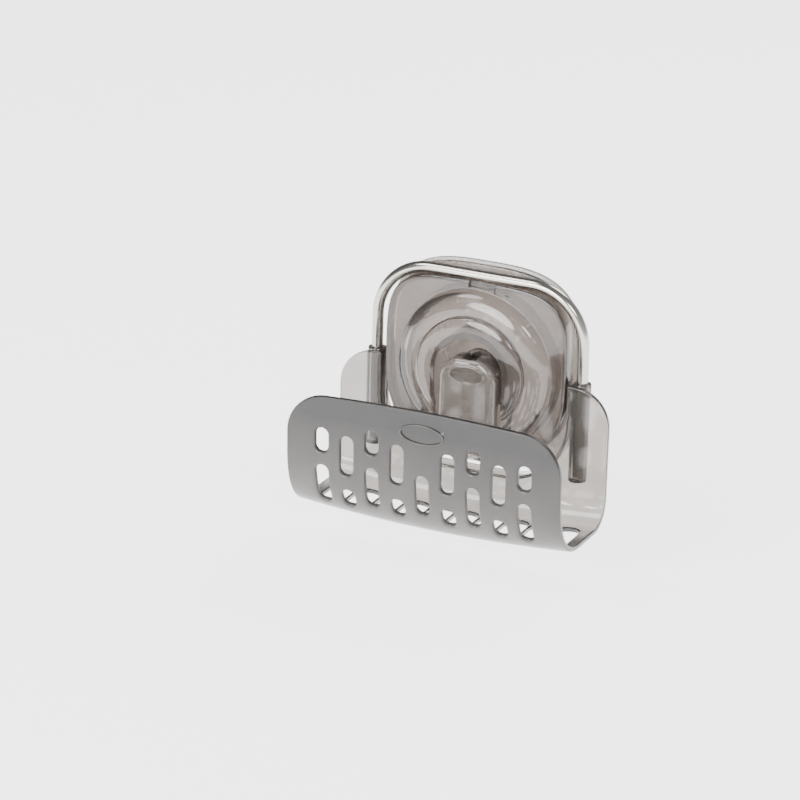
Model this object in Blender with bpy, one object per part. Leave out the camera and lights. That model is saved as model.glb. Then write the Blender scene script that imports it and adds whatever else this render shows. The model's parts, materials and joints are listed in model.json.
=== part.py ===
"""Suction sink caddy: a lever-lock suction base that carries a slotted trough on a wire hanger.

Metres, +Z up. The sink wall is the plane y = 0 and the caddy stands out from it towards -Y, so a
"depth" in this file is a distance out from the wall, and y = -depth. X runs along the wall, and the
origin is the centre of the suction pad. The lever is shown folded down, which is its locked place.
"""
import math

import bmesh
import bpy
from mathutils import Vector

# Fits
GAP = 0.0003
RUNNING_CLEARANCE = 0.00005
OVERRUN = 0.002

# Suction pad, soft and clear, drawn up at its centre while the lever is locked
BASE_SQUARENESS = 3.2
PAD_RIM = 0.0009
PAD_THICKNESS = 0.0025
PAD_EDGE_BEVEL = 0.0005
PAD_CAVITY_RADIUS = 0.0330
PAD_CAVITY_DEPTH = 0.0016
PAD_CENTRE_THICKNESS = 0.0018
PAD_BOSS_RADIUS = 0.0068
PAD_BOSS_HEIGHT = 0.0029
PAD_FLOOR_UNDER_FOOT = 0.0020

# Post, moulded into the pad's boss
FOOT_RADIUS = 0.0055
FOOT_THICKNESS = 0.0009
NECK_RADIUS = 0.0027
POST_HALF_WIDTH = 0.0030
POST_EYE_RADIUS = 0.0033
PIN_RADIUS = 0.0015

# Back plate, whose ring presses the pad's rim on the wall
PLATE_HALF_WIDTH = 0.0434
PLATE_THICKNESS = 0.0020
PLATE_EDGE_BEVEL = 0.0005
RING_SETBACK = 0.0075
RING_WALL = 0.0018

# Front cover: flat face, convex ring and hub
COVER_SIDE_SETBACK = 0.0032
COVER_TOP_SETBACK = 0.0060
COVER_BOTTOM_SETBACK = 0.0058
COVER_TOP_SQUARENESS = 4.3
COVER_BOTTOM_SQUARENESS = 2.7
COVER_DEPTH = 0.0124
COVER_BEVEL = 0.0009
COVER_DRAFT = 0.0003
COVER_WALL = 0.0020
DOME_SETBACK = 0.0015
DOME_WIDTH = 0.0100
DOME_RISE = 0.0052
HUB_STEP = 0.0006
HUB_RISE = 0.0028
PIT_HALF_WIDTH = 0.0155
PIT_LOWER_EDGE = 0.0120
SEAT_DEPTH = 0.0052
NOTCH_LEFT = -0.0038
NOTCH_WIDTH = 0.0111
NOTCH_HEIGHT = 0.0018
NOTCH_DEPTH = 0.0012
CATCH_WIDTH = 0.0079
CATCH_DROP = 0.0005
CATCH_HEIGHT = 0.0030
CATCH_DEPTH = 0.0005

# Washer under the cam
WASHER_RADIUS = 0.0116
WASHER_THICKNESS = 0.0008

# Lever
CAM_RADIUS = 0.0084
CAM_TRAVEL = 0.0015
CAM_BACK_ANGLE = -50.0
LEVER_HALF_WIDTH = 0.0129
LEVER_FACE_HALF_WIDTH = 0.0103
LEVER_FACE_HEIGHT = 0.0055
LEVER_SIDE_HEIGHT = 0.0033
LEVER_BACK_HEIGHT = 0.0013
LEVER_HEAD_RADIUS = 0.0062
LEVER_LENGTH = 0.0365
LEVER_WALL = 0.0018
LEVER_HOLLOW_HALF_WIDTH = 0.0082
LEVER_TIP_LIFT = 0.0012
LEVER_TIP_LENGTH = 0.0060
LEVER_OVAL_HALF_WIDTH = 0.0078
LEVER_OVAL_HALF_HEIGHT = 0.0036
OVAL_DEPTH = 0.0003

# Wire hanger
WIRE_RADIUS = 0.0024
HANGER_SIDE_CLEARANCE = 0.00105
HANGER_BACK_CLEARANCE = 0.0008
HANGER_SEAT_DEPTH = 0.0012
HANGER_CORNER_RADIUS = 0.0240
HANGER_LEG_DROP = 0.0397
LIFT_ANGLE = 20.0

# Trough
TRAY_WALL = 0.0022
EAR_TOP = 0.0003
EAR_REACH = 0.01455
EAR_CORNER_RADIUS = 0.0160
SLEEVE_RADIUS = 0.0039
SLEEVE_RISE = 0.0006
SLEEVE_DROP = 0.0420
SLEEVE_LAP = 0.0006
CUTOUT_CLEARANCE = 0.0011
CUTOUT_DROP = 0.0070
CUTOUT_CORNER_RADIUS = 0.0280
COLLAR_WALL = 0.0014
COLLAR_DROP = 0.0008
TROUGH_DEPTH = 0.0525
TROUGH_FLOOR = 0.0610
TROUGH_END_RISE = 0.0026
TROUGH_BACK_RADIUS = 0.0120
TROUGH_BEND_TOP = 0.0270
TROUGH_BEND_REACH = 0.0249
TROUGH_BEND_POWER = 2.6
TROUGH_BEND_POWER_LOSS = 0.2
FRONT_LEAN = 0.0008
FRONT_TOP = 0.0025
FRONT_CROWN = 0.0011
FRONT_CORNER_RADIUS = 0.0180

# Drain slots, nine columns counted from the middle one
SLOT_PITCH = 0.01138
SLOT_HALF_COLUMNS = 4
SLOT_WIDTH = 0.0059
SLOT_RIM = 0.00105
SLOT_RIM_DEPTH = 0.0012
LONG_SLOT_CENTRE = 0.0277
LONG_SLOT_LENGTH = 0.0173
LONG_SLOT_ARCH = 0.00007
SHORT_SLOT_CENTRE = 0.0192
SHORT_SLOT_LENGTH = 0.0104
SHORT_SLOT_ARCH = 0.00024
LOW_SLOT_CENTRE = 0.0399
LOW_SLOT_LENGTH = 0.0182
LOW_SLOT_ARCH = 0.00022
HOLE_CENTRE = 0.0479
HOLE_LENGTH = 0.0085
HOLE_ARCH = 0.00006
FLOOR_RIB_WIDTH = 0.0012
FLOOR_SLOT_LENGTH = 0.0250
FLOOR_SLOT_CENTRE = 0.0360
FRONT_OVAL_CENTRE = 0.0122
FRONT_OVAL_HALF_WIDTH = 0.0096
FRONT_OVAL_HALF_HEIGHT = 0.0042

# Depths and places that follow from the sizes above
PAD_HALF_WIDTH = PLATE_HALF_WIDTH + PAD_RIM
RING_RADIUS = PLATE_HALF_WIDTH - RING_SETBACK
COVER_HALF_WIDTH = PLATE_HALF_WIDTH - COVER_SIDE_SETBACK
COVER_TOP = PLATE_HALF_WIDTH - COVER_TOP_SETBACK
COVER_BOTTOM = PLATE_HALF_WIDTH - COVER_BOTTOM_SETBACK
DOME_RADIUS = RING_RADIUS - DOME_SETBACK
HUB_RADIUS = DOME_RADIUS - DOME_WIDTH
CATCH_TOP = COVER_TOP - CATCH_DROP
PLATE_BACK = PAD_THICKNESS + GAP
PLATE_FRONT = PLATE_BACK + PLATE_THICKNESS
COVER_BACK = PLATE_FRONT + GAP
PAD_CENTRE_FRONT = PAD_CAVITY_DEPTH + PAD_CENTRE_THICKNESS
PAD_BOSS_FRONT = PAD_CENTRE_FRONT + PAD_BOSS_HEIGHT
FOOT_BACK = PAD_CAVITY_DEPTH + PAD_FLOOR_UNDER_FOOT + GAP
FOOT_FRONT = FOOT_BACK + FOOT_THICKNESS
SEAT_BACK = PAD_CENTRE_FRONT + GAP
WASHER_BACK = SEAT_DEPTH + GAP
WASHER_FRONT = WASHER_BACK + WASHER_THICKNESS
SEAT_HOLE_RADIUS = PAD_BOSS_RADIUS + 2 * GAP
PIN_DEPTH = WASHER_FRONT + GAP + CAM_RADIUS
POST_FRONT = PAD_BOSS_FRONT + 2 * GAP
HANGER_DEPTH = PLATE_FRONT + HANGER_BACK_CLEARANCE + WIRE_RADIUS
HANGER_HALF_SPAN = PLATE_HALF_WIDTH + HANGER_SIDE_CLEARANCE + WIRE_RADIUS
HANGER_TOP = COVER_TOP + COVER_BEVEL - HANGER_SEAT_DEPTH + GAP + WIRE_RADIUS
TRAY_HALF_WIDTH = HANGER_HALF_SPAN + EAR_REACH
TRAY_BACK = HANGER_DEPTH + SLEEVE_RADIUS - SLEEVE_LAP
TRAY_FRONT = TRAY_BACK + TROUGH_DEPTH
BORE_RADIUS = WIRE_RADIUS + GAP / 2
CUTOUT_HALF_WIDTH = COVER_HALF_WIDTH + COVER_BEVEL + COVER_DRAFT + CUTOUT_CLEARANCE
CUTOUT_BOTTOM = COVER_BOTTOM + CUTOUT_DROP
FLOOR_SLOT_WIDTH = SLOT_PITCH - FLOOR_RIB_WIDTH

# Facets
OUTLINE_SIDES = 80
ARC_STEPS = 8
ROUND_SIDES = 32
BEND_STEPS = 14
TRAY_STATIONS = 12


def clear_scene():
    """Remove every object that the file opened with."""
    for item in list(bpy.data.objects):
        bpy.data.objects.remove(item, do_unlink=True)


def plastic(name, colour, roughness, metallic=0.0, alpha=1.0):
    """A Principled material with one colour, roughness and metallic value."""
    material = bpy.data.materials.new(name)
    material.use_nodes = True
    shader = material.node_tree.nodes["Principled BSDF"]
    shader.inputs["Base Color"].default_value = (*colour, 1.0)
    shader.inputs["Roughness"].default_value = roughness
    shader.inputs["Metallic"].default_value = metallic
    shader.inputs["Alpha"].default_value = alpha
    return material


def mesh_object(name, points, faces, material=None, origin=Vector((0, 0, 0)), smooth=True):
    """An object from world points, with its own origin, outward faces and smooth shading."""
    mesh = bpy.data.meshes.new(name)
    mesh.from_pydata([Vector(point) - origin for point in points], [], faces)
    work = bmesh.new()
    work.from_mesh(mesh)
    bmesh.ops.recalc_face_normals(work, faces=work.faces)
    work.to_mesh(mesh)
    work.free()
    if smooth:
        mesh.shade_smooth()
        mesh.set_sharp_from_angle(angle=math.radians(32))
    if material:
        mesh.materials.append(material)
    item = bpy.data.objects.new(name, mesh)
    item.location = origin
    bpy.context.scene.collection.objects.link(item)
    return item


def as_cutter(item):
    """Mark an object as a guide for a Boolean, which is not itself a piece."""
    item.hide_render = True
    item.display_type = "WIRE"
    return item


def combine(item, other, operation):
    """Add an exact Boolean of another object to this one."""
    as_cutter(other)
    modifier = item.modifiers.new(other.name, "BOOLEAN")
    modifier.operation = operation
    modifier.solver = "EXACT"
    modifier.object = other


def cut(item, *others):
    """Take other objects out of this one."""
    for other in others:
        combine(item, other, "DIFFERENCE")


def join(item, *others):
    """Fuse other objects into this one."""
    for other in others:
        combine(item, other, "UNION")


def arc(centre, radius, start, end, steps):
    """Points of an arc in a plane, angles in degrees."""
    turns = [math.radians(start + (end - start) * step / steps) for step in range(steps + 1)]
    return [(centre[0] + radius * math.cos(turn), centre[1] + radius * math.sin(turn)) for turn in turns]


def stations(start, end, steps):
    """Evenly spaced values from start to end."""
    return [start + (end - start) * step / steps for step in range(steps + 1)]


def loops_to_faces(loop_count, size):
    """Quads between neighbouring closed loops of equal size."""
    faces = []
    for loop in range(loop_count - 1):
        for step in range(size):
            following = (step + 1) % size
            faces.append((loop * size + step, loop * size + following,
                          (loop + 1) * size + following, (loop + 1) * size + step))
    return faces


def skin_loops(name, loops, **options):
    """A closed solid over a row of loops of world points, with flat caps on the first and last."""
    size = len(loops[0])
    points = [point for loop in loops for point in loop]
    faces = loops_to_faces(len(loops), size)
    faces.append(tuple(range(size)))
    faces.append(tuple((len(loops) - 1) * size + step for step in range(size)))
    return mesh_object(name, points, faces, **options)


def prism_out(name, outline, depth_from, depth_to, **options):
    """A prism along Y over an (x, z) outline, between two depths."""
    loops = [[(x, -depth, z) for x, z in outline] for depth in (depth_from, depth_to)]
    return skin_loops(name, loops, **options)


def prism_across(name, outline, x_from, x_to, **options):
    """A prism along X over a (depth, z) outline."""
    loops = [[(x, -depth, z) for depth, z in outline] for x in (x_from, x_to)]
    return skin_loops(name, loops, **options)


def prism_up(name, outline, z_from, z_to, **options):
    """A prism along Z over an (x, depth) outline."""
    loops = [[(x, -depth, z) for x, depth in outline] for z in (z_from, z_to)]
    return skin_loops(name, loops, **options)


def circle(centre, radius, sides=ROUND_SIDES):
    """Corners of a regular polygon on a circle in a plane."""
    return arc(centre, radius, 0, 360, sides)[:-1]


def box_outline(left, right, low, high):
    """Corners of a rectangle in a plane."""
    return [(left, low), (right, low), (right, high), (left, high)]


def squared_round(half_width, top, bottom, top_power, bottom_power):
    """An (x, z) outline between a round and a square, with points at even angles about the origin."""
    points = []
    for turn in stations(0, 2 * math.pi, OUTLINE_SIDES)[:-1]:
        across = math.cos(turn)
        up = math.sin(turn)
        height = top if up >= 0 else bottom
        power = top_power if up >= 0 else bottom_power
        reach = (abs(across / half_width) ** power + abs(up / height) ** power) ** (-1 / power)
        points.append((reach * across, reach * up))
    return points


def cover_outline(growth):
    """The front cover's outline, grown by a length on every side."""
    return squared_round(COVER_HALF_WIDTH + growth, COVER_TOP + growth, COVER_BOTTOM + growth,
                         COVER_TOP_SQUARENESS, COVER_BOTTOM_SQUARENESS)


def base_outline(half_width):
    """The pad's and the plate's outline for a half width."""
    return squared_round(half_width, half_width, half_width, BASE_SQUARENESS, BASE_SQUARENESS)


def round_like(outline, radius):
    """A circle with one point in the direction of each of an outline's points."""
    turns = [math.atan2(z, x) for x, z in outline]
    return [(radius * math.cos(turn), radius * math.sin(turn)) for turn in turns]


def at_depth(outline, depth):
    """World points of an (x, z) outline at a depth."""
    return [(x, -depth, z) for x, z in outline]


def make_suction_pad(material):
    """A soft square sheet, hollow behind its centre, whose boss holds the post's foot."""
    edge = base_outline(PAD_HALF_WIDTH)
    inner_edge = base_outline(PAD_HALF_WIDTH - PAD_EDGE_BEVEL)
    neck_hole = NECK_RADIUS + GAP
    back = []
    front = []
    for share in stations(0.0, 1.0, ARC_STEPS // 2):
        rise = (1 - share * share) ** 2
        radius = max(share * PAD_CAVITY_RADIUS, neck_hole)
        back.append((radius, PAD_CAVITY_DEPTH * rise))
        if radius > PAD_BOSS_RADIUS:
            front.append((radius, PAD_THICKNESS + (PAD_CENTRE_FRONT - PAD_THICKNESS) * rise))
    loops = [at_depth(round_like(edge, radius), depth) for radius, depth in back]
    loops += [at_depth(inner_edge, 0.0), at_depth(edge, PAD_EDGE_BEVEL)]
    loops += [at_depth(edge, PAD_THICKNESS - PAD_EDGE_BEVEL), at_depth(inner_edge, PAD_THICKNESS)]
    loops += [at_depth(round_like(edge, radius), depth) for radius, depth in reversed(front)]
    pocket = FOOT_RADIUS + GAP
    for radius, depth in ((PAD_BOSS_RADIUS, PAD_CENTRE_FRONT), (PAD_BOSS_RADIUS, PAD_BOSS_FRONT),
                          (neck_hole, PAD_BOSS_FRONT), (neck_hole, FOOT_FRONT + GAP),
                          (pocket, FOOT_FRONT + GAP), (pocket, FOOT_BACK - GAP)):
        loops.append(at_depth(round_like(edge, radius), depth))
    return skin_loops("suction_pad", loops, material=material)


def make_pad_post(material):
    """A foot disc and neck in the pad, and an eye over them that the lever's pin goes through."""
    origin = Vector((0, -PIN_DEPTH, 0))
    profile = ((FOOT_RADIUS, FOOT_BACK), (FOOT_RADIUS, FOOT_FRONT), (NECK_RADIUS, FOOT_FRONT),
               (NECK_RADIUS, POST_FRONT + OVERRUN))
    loops = [at_depth(circle((0, 0), radius), depth) for radius, depth in profile]
    post = skin_loops("pad_post", loops, material=material, origin=origin)
    eye = arc((PIN_DEPTH, 0), POST_EYE_RADIUS, -90, 90, ARC_STEPS)
    eye += [(POST_FRONT, POST_EYE_RADIUS), (POST_FRONT, -POST_EYE_RADIUS)]
    join(post, prism_across("post_eye", eye, -POST_HALF_WIDTH, POST_HALF_WIDTH))
    hole = circle((PIN_DEPTH, 0), PIN_RADIUS + RUNNING_CLEARANCE)
    reach = POST_HALF_WIDTH + OVERRUN
    cut(post, prism_across("post_pin_hole", hole, -reach, reach))
    return post


def make_back_plate(material):
    """A rounded square flange with a round opening and a ring that stands up inside the cover."""
    edge = base_outline(PLATE_HALF_WIDTH)
    inner_edge = base_outline(PLATE_HALF_WIDTH - PLATE_EDGE_BEVEL)
    bore = RING_RADIUS - RING_WALL
    ring_top = COVER_DEPTH - COVER_WALL - GAP
    loops = [at_depth(round_like(edge, bore), PLATE_BACK), at_depth(edge, PLATE_BACK),
             at_depth(edge, PLATE_FRONT - PLATE_EDGE_BEVEL), at_depth(inner_edge, PLATE_FRONT),
             at_depth(round_like(edge, RING_RADIUS), PLATE_FRONT),
             at_depth(round_like(edge, RING_RADIUS), ring_top), at_depth(round_like(edge, bore), ring_top)]
    size = len(edge)
    points = [point for loop in loops + loops[:1] for point in loop][:len(loops) * size]
    faces = loops_to_faces(len(loops), size)
    last = (len(loops) - 1) * size
    for step in range(size):
        following = (step + 1) % size
        faces.append((last + step, last + following, following, step))
    return mesh_object("back_plate", points, faces, material=material)


def dome_profile(wall):
    """Radius and depth pairs of the cover's raised middle, from its rim to its hub."""
    face = COVER_DEPTH - wall
    ring_start = DOME_RADIUS - wall
    pairs = []
    for turn in stations(0, 90, ARC_STEPS):
        angle = math.radians(turn)
        pairs.append((HUB_RADIUS + (ring_start - HUB_RADIUS) * math.cos(angle),
                      face + DOME_RISE * math.sin(angle)))
    base = face + DOME_RISE - HUB_STEP
    for turn in stations(0, 90, ARC_STEPS // 2):
        angle = math.radians(turn)
        pairs.append(((HUB_RADIUS - HUB_STEP) * math.cos(angle), base + HUB_RISE * math.sin(angle)))
    return pairs[:-1]


def hub_top(wall):
    """Depth of the cover's hub at its very centre."""
    return COVER_DEPTH - wall + DOME_RISE - HUB_STEP + HUB_RISE


def domed_block(name, rims, wall, **options):
    """Nested rims up to the cover's face, closed by its dome over a centre point."""
    outline = rims[-1][0]
    loops = [at_depth(rim, depth) for rim, depth in rims]
    loops += [at_depth(round_like(outline, radius), depth) for radius, depth in dome_profile(wall)]
    size = len(outline)
    points = [point for loop in loops for point in loop]
    points.append((0, -hub_top(wall), 0))
    faces = loops_to_faces(len(loops), size)
    faces.append(tuple(range(size)))
    last = (len(loops) - 1) * size
    for step in range(size):
        faces.append((last + step, last + (step + 1) % size, len(points) - 1))
    return mesh_object(name, points, faces, **options)


def pit_outline(wall):
    """The arch round the lever's head, in (x, z), with a wall added round it."""
    side = PIT_HALF_WIDTH + wall
    low = -PIT_LOWER_EDGE - wall
    return [(-side, low), (side, low)] + arc((0, 0), side, 0, 180, 2 * ARC_STEPS)


def make_front_cover(material):
    """A thin domed shell with a deep pit for the cam, a channel for the lever and a seat for the wire."""
    bevelled = cover_outline(COVER_BEVEL)
    base = cover_outline(COVER_BEVEL + COVER_DRAFT)
    rims = [(base, COVER_BACK), (bevelled, COVER_DEPTH - COVER_BEVEL), (cover_outline(0), COVER_DEPTH)]
    cover = domed_block("front_cover", rims, 0, material=material)

    hollow = cover_outline(COVER_BEVEL - COVER_WALL)
    hollow_rims = [(hollow, COVER_BACK - OVERRUN), (hollow, COVER_DEPTH - COVER_WALL)]
    cavity = domed_block("cover_cavity", hollow_rims, COVER_WALL)
    far = COVER_DEPTH + DOME_RISE + HUB_RISE + OVERRUN
    side = PIT_HALF_WIDTH + COVER_WALL
    foot = -COVER_BOTTOM - COVER_BEVEL - COVER_DRAFT - OVERRUN
    under_channel = box_outline(GAP - side, side - GAP, foot, 0)
    cut(cavity, prism_out("well_in_cavity", pit_outline(COVER_WALL), SEAT_BACK - OVERRUN, far),
        prism_out("channel_in_cavity", under_channel, COVER_DEPTH - COVER_WALL - GAP, far + OVERRUN))
    cut(cover, cavity)

    join(cover, prism_out("well", pit_outline(COVER_WALL - GAP), SEAT_BACK, COVER_BACK + OVERRUN))
    channel = box_outline(GAP - PIT_HALF_WIDTH, PIT_HALF_WIDTH - GAP, foot, 0)
    cut(cover, prism_out("pit", pit_outline(0), SEAT_DEPTH, far),
        prism_out("channel", channel, COVER_DEPTH, far + OVERRUN),
        prism_out("seat_hole", circle((0, 0), SEAT_HOLE_RADIUS), SEAT_BACK - OVERRUN, SEAT_DEPTH + OVERRUN),
        hanger_tube("hanger_groove", WIRE_RADIUS + GAP), hanger_ramp())
    cut(cover, *catch_notches())
    return cover


def catch_notches():
    """The shallow window and the step beside it on the cover's top edge."""
    top = COVER_TOP + COVER_BEVEL + OVERRUN
    right = NOTCH_LEFT + NOTCH_WIDTH
    window = box_outline(NOTCH_LEFT, right, COVER_TOP - NOTCH_HEIGHT, top)
    step = box_outline(right + GAP, right + CATCH_WIDTH, CATCH_TOP - CATCH_HEIGHT, CATCH_TOP)
    front = COVER_DEPTH + OVERRUN
    return (prism_out("window_notch", window, COVER_DEPTH - NOTCH_DEPTH, front),
            prism_out("catch_notch", step, COVER_DEPTH - CATCH_DEPTH, front + OVERRUN))


def hanger_path():
    """The hanger wire's centre line as world points, from the left leg's end to the right one's."""
    side = HANGER_HALF_SPAN
    bend = HANGER_CORNER_RADIUS
    high = HANGER_TOP - bend
    points = [(-side, z) for z in stations(-HANGER_LEG_DROP, high, 2)[:-1]]
    points += arc((bend - side, high), bend, 180, 90, ARC_STEPS)
    points += arc((side - bend, high), bend, 90, 0, ARC_STEPS)
    points += [(side, z) for z in stations(high, -HANGER_LEG_DROP, 2)[1:]]
    return at_depth(points, HANGER_DEPTH)


def hanger_tube(name, radius, material=None, origin=Vector((0, 0, 0))):
    """A round tube along the hanger's path."""
    path = [Vector(point) for point in hanger_path()]
    loops = []
    for index, point in enumerate(path):
        before = path[max(index - 1, 0)]
        after = path[min(index + 1, len(path) - 1)]
        along = (after - before).normalized()
        outward = Vector((0, -1, 0))
        sideways = outward.cross(along)
        loops.append([point + radius * (outward * a + sideways * b)
                      for a, b in circle((0, 0), 1.0, ROUND_SIDES // 2)])
    return skin_loops(name, loops, material=material, origin=origin)


def hanger_ramp():
    """The room that the wire's top bar needs to leave its seat outwards and upwards."""
    radius = WIRE_RADIUS + GAP / 2
    run = COVER_DEPTH + OVERRUN
    slope = math.radians(LIFT_ANGLE)
    near = (HANGER_DEPTH, HANGER_TOP)
    away = (near[0] + run * math.cos(slope), near[1] + run * math.sin(slope))
    lower = 270 + LIFT_ANGLE
    upper = 90 + LIFT_ANGLE
    outline = arc(away, radius, lower, upper + 360, ARC_STEPS)
    outline += arc(near, radius, upper, lower, ARC_STEPS)
    span = HANGER_HALF_SPAN - HANGER_CORNER_RADIUS
    return prism_across("hanger_ramp", outline, -span, span)


def make_cam_washer(material):
    """A thin ring on the cover's seat, under the lever's cam."""
    disc = circle((0, 0), WASHER_RADIUS)
    washer = prism_out("cam_washer", disc, WASHER_BACK, WASHER_FRONT, material=material)
    hole = circle((0, 0), SEAT_HOLE_RADIUS)
    cut(washer, prism_out("washer_hole", hole, WASHER_BACK - OVERRUN, WASHER_FRONT + OVERRUN))
    return washer


def cam_profile():
    """The lever's head seen from the side, as (depth, z): a cam that falls away towards its top."""
    points = []
    front_turn = 180 - math.degrees(math.acos(LEVER_FACE_HEIGHT / (CAM_RADIUS - CAM_TRAVEL)))
    for turn in stations(front_turn, CAM_BACK_ANGLE, 2 * ARC_STEPS):
        fall = max(turn / 90, 0.0)
        radius = CAM_RADIUS - CAM_TRAVEL * fall
        angle = math.radians(turn)
        points.append((PIN_DEPTH - radius * math.cos(angle), radius * math.sin(angle)))
    return points


def lever_section():
    """The lever across its length, as (x, depth), with rounded shoulders beside its face."""
    back = PIN_DEPTH - CAM_RADIUS - OVERRUN
    shoulder = PIN_DEPTH + LEVER_SIDE_HEIGHT
    drop = LEVER_FACE_HEIGHT - LEVER_SIDE_HEIGHT
    run = LEVER_HALF_WIDTH - LEVER_FACE_HALF_WIDTH
    side = [(LEVER_FACE_HALF_WIDTH + run * across, shoulder + drop * up)
            for across, up in arc((0, 0), 1.0, 0, 90, ARC_STEPS // 2)]
    other_side = [(-x, depth) for x, depth in side[::-1]]
    return [(-LEVER_HALF_WIDTH, back), (LEVER_HALF_WIDTH, back)] + side + other_side


def lever_front_outline():
    """The lever seen from the front, as (x, z), with rounded corners on its head and its tip."""
    side = LEVER_HALF_WIDTH + OVERRUN
    head = CAM_RADIUS - CAM_TRAVEL
    inner = LEVER_HALF_WIDTH - LEVER_HEAD_RADIUS
    low = -LEVER_LENGTH - OVERRUN
    points = [(-side, low), (side, low), (side, head - LEVER_HEAD_RADIUS)]
    points += arc((inner, head - LEVER_HEAD_RADIUS), LEVER_HEAD_RADIUS, 0, 90, ARC_STEPS)
    points += arc((-inner, head - LEVER_HEAD_RADIUS), LEVER_HEAD_RADIUS, 90, 180, ARC_STEPS)
    points.append((-side, head - LEVER_HEAD_RADIUS))
    return points


def make_lever(material):
    """A folding lever: cam head with a slot for the post, and a hollow arm that lies in the channel."""
    origin = Vector((0, -PIN_DEPTH, 0))
    face = PIN_DEPTH + LEVER_FACE_HEIGHT
    back = PIN_DEPTH + LEVER_BACK_HEIGHT
    outline = cam_profile()
    arm_top = outline[-1][1]
    outline += [(back, arm_top - (back - outline[-1][0])), (back, -LEVER_LENGTH)]
    outline += [(face + LEVER_TIP_LIFT, -LEVER_LENGTH), (face, LEVER_TIP_LENGTH - LEVER_LENGTH)]
    side = LEVER_HALF_WIDTH + OVERRUN
    lever = prism_across("lever", outline, -side, side, material=material, origin=origin)
    high = CAM_RADIUS + OVERRUN
    combine(lever, prism_up("lever_section", lever_section(), -LEVER_LENGTH - OVERRUN, high), "INTERSECT")
    near = PIN_DEPTH - CAM_RADIUS - OVERRUN
    far = face + LEVER_TIP_LIFT + OVERRUN
    combine(lever, prism_out("lever_outline", lever_front_outline(), near, far), "INTERSECT")

    slot = POST_HALF_WIDTH + GAP
    slot_front = PIN_DEPTH + POST_EYE_RADIUS + GAP
    slot_low = outline[len(cam_profile())][1]
    hub_slot = box_outline(near, slot_front, slot_low, high)
    arm_floor = face - LEVER_WALL
    arm = [(near, slot_low), (near, -LEVER_LENGTH + LEVER_WALL), (arm_floor, -LEVER_LENGTH + LEVER_WALL),
           (arm_floor, slot_low)]
    cut(lever, prism_across("post_slot", hub_slot, -slot, slot),
        prism_across("arm_hollow", arm, -LEVER_HOLLOW_HALF_WIDTH, LEVER_HOLLOW_HALF_WIDTH))
    hole = circle((PIN_DEPTH, 0), PIN_RADIUS + RUNNING_CLEARANCE)
    cut(lever, prism_across("lever_pin_hole", hole, -side, side))
    oval = [(x * LEVER_OVAL_HALF_WIDTH, z * LEVER_OVAL_HALF_HEIGHT) for x, z in circle((0, 0), 1.0)]
    cut(lever, prism_out("lever_oval", oval, face - OVAL_DEPTH, far + OVERRUN))
    return lever


def make_lever_pin(material):
    """The steel pin through the lever and the post."""
    origin = Vector((0, -PIN_DEPTH, 0))
    reach = LEVER_HALF_WIDTH - LEVER_WALL / 2
    return prism_across("lever_pin", circle((PIN_DEPTH, 0), PIN_RADIUS), -reach, reach,
                        material=material, origin=origin)


def make_wire_hanger(material, origin):
    """The bent steel wire that hangs on the base and holds the trough."""
    return hanger_tube("wire_hanger", WIRE_RADIUS, material=material, origin=origin)


def floor_height(x):
    """How far below the origin the trough's underside lies at x."""
    share = x / TRAY_HALF_WIDTH
    return TROUGH_FLOOR - TROUGH_END_RISE * share * share


def bend_power(x):
    """Squareness of the trough's front bend at x."""
    share = x / TRAY_HALF_WIDTH
    return TROUGH_BEND_POWER - TROUGH_BEND_POWER_LOSS * share * share


def front_depth(x, drop):
    """Depth of the trough's outer front surface at x, for a height given as a drop below the origin."""
    if drop <= TROUGH_BEND_TOP:
        lean = FRONT_LEAN * (TROUGH_BEND_TOP - drop) / (TROUGH_BEND_TOP - FRONT_TOP)
        return TRAY_FRONT - FRONT_LEAN + lean
    share = min((drop - TROUGH_BEND_TOP) / (floor_height(x) - TROUGH_BEND_TOP), 1.0)
    power = bend_power(x)
    reach = TROUGH_BEND_REACH * (1 - share ** power) ** (1 / power)
    return TRAY_FRONT - FRONT_LEAN - TROUGH_BEND_REACH + reach


def trough_outside(x):
    """The trough's outer (depth, z) line at x: back wall, floor, bend and front wall."""
    low = floor_height(x)
    turn = TROUGH_BACK_RADIUS
    points = [(TRAY_BACK, EAR_TOP), (TRAY_BACK, (EAR_TOP + turn - low) / 2)]
    points += arc((TRAY_BACK + turn, turn - low), turn, 180, 270, ARC_STEPS)
    bend_start = TRAY_FRONT - FRONT_LEAN - TROUGH_BEND_REACH
    power = bend_power(x)
    for turn_angle in stations(90, 0, BEND_STEPS):
        angle = math.radians(turn_angle)
        across = TROUGH_BEND_REACH * math.cos(angle) ** (2 / power)
        down = (low - TROUGH_BEND_TOP) * math.sin(angle) ** (2 / power)
        points.append((bend_start + across, -TROUGH_BEND_TOP - down))
    for drop in stations(TROUGH_BEND_TOP, FRONT_TOP - OVERRUN, 2)[1:]:
        points.append((front_depth(x, drop), -drop))
    return points


def offset_inwards(points, wall):
    """A line moved by a wall's thickness to its left-hand side."""
    moved = []
    for index, point in enumerate(points):
        before = Vector(points[max(index - 1, 0)])
        after = Vector(points[min(index + 1, len(points) - 1)])
        along = (after - before).normalized()
        moved.append((point[0] - wall * along.y, point[1] + wall * along.x))
    return moved


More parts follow.
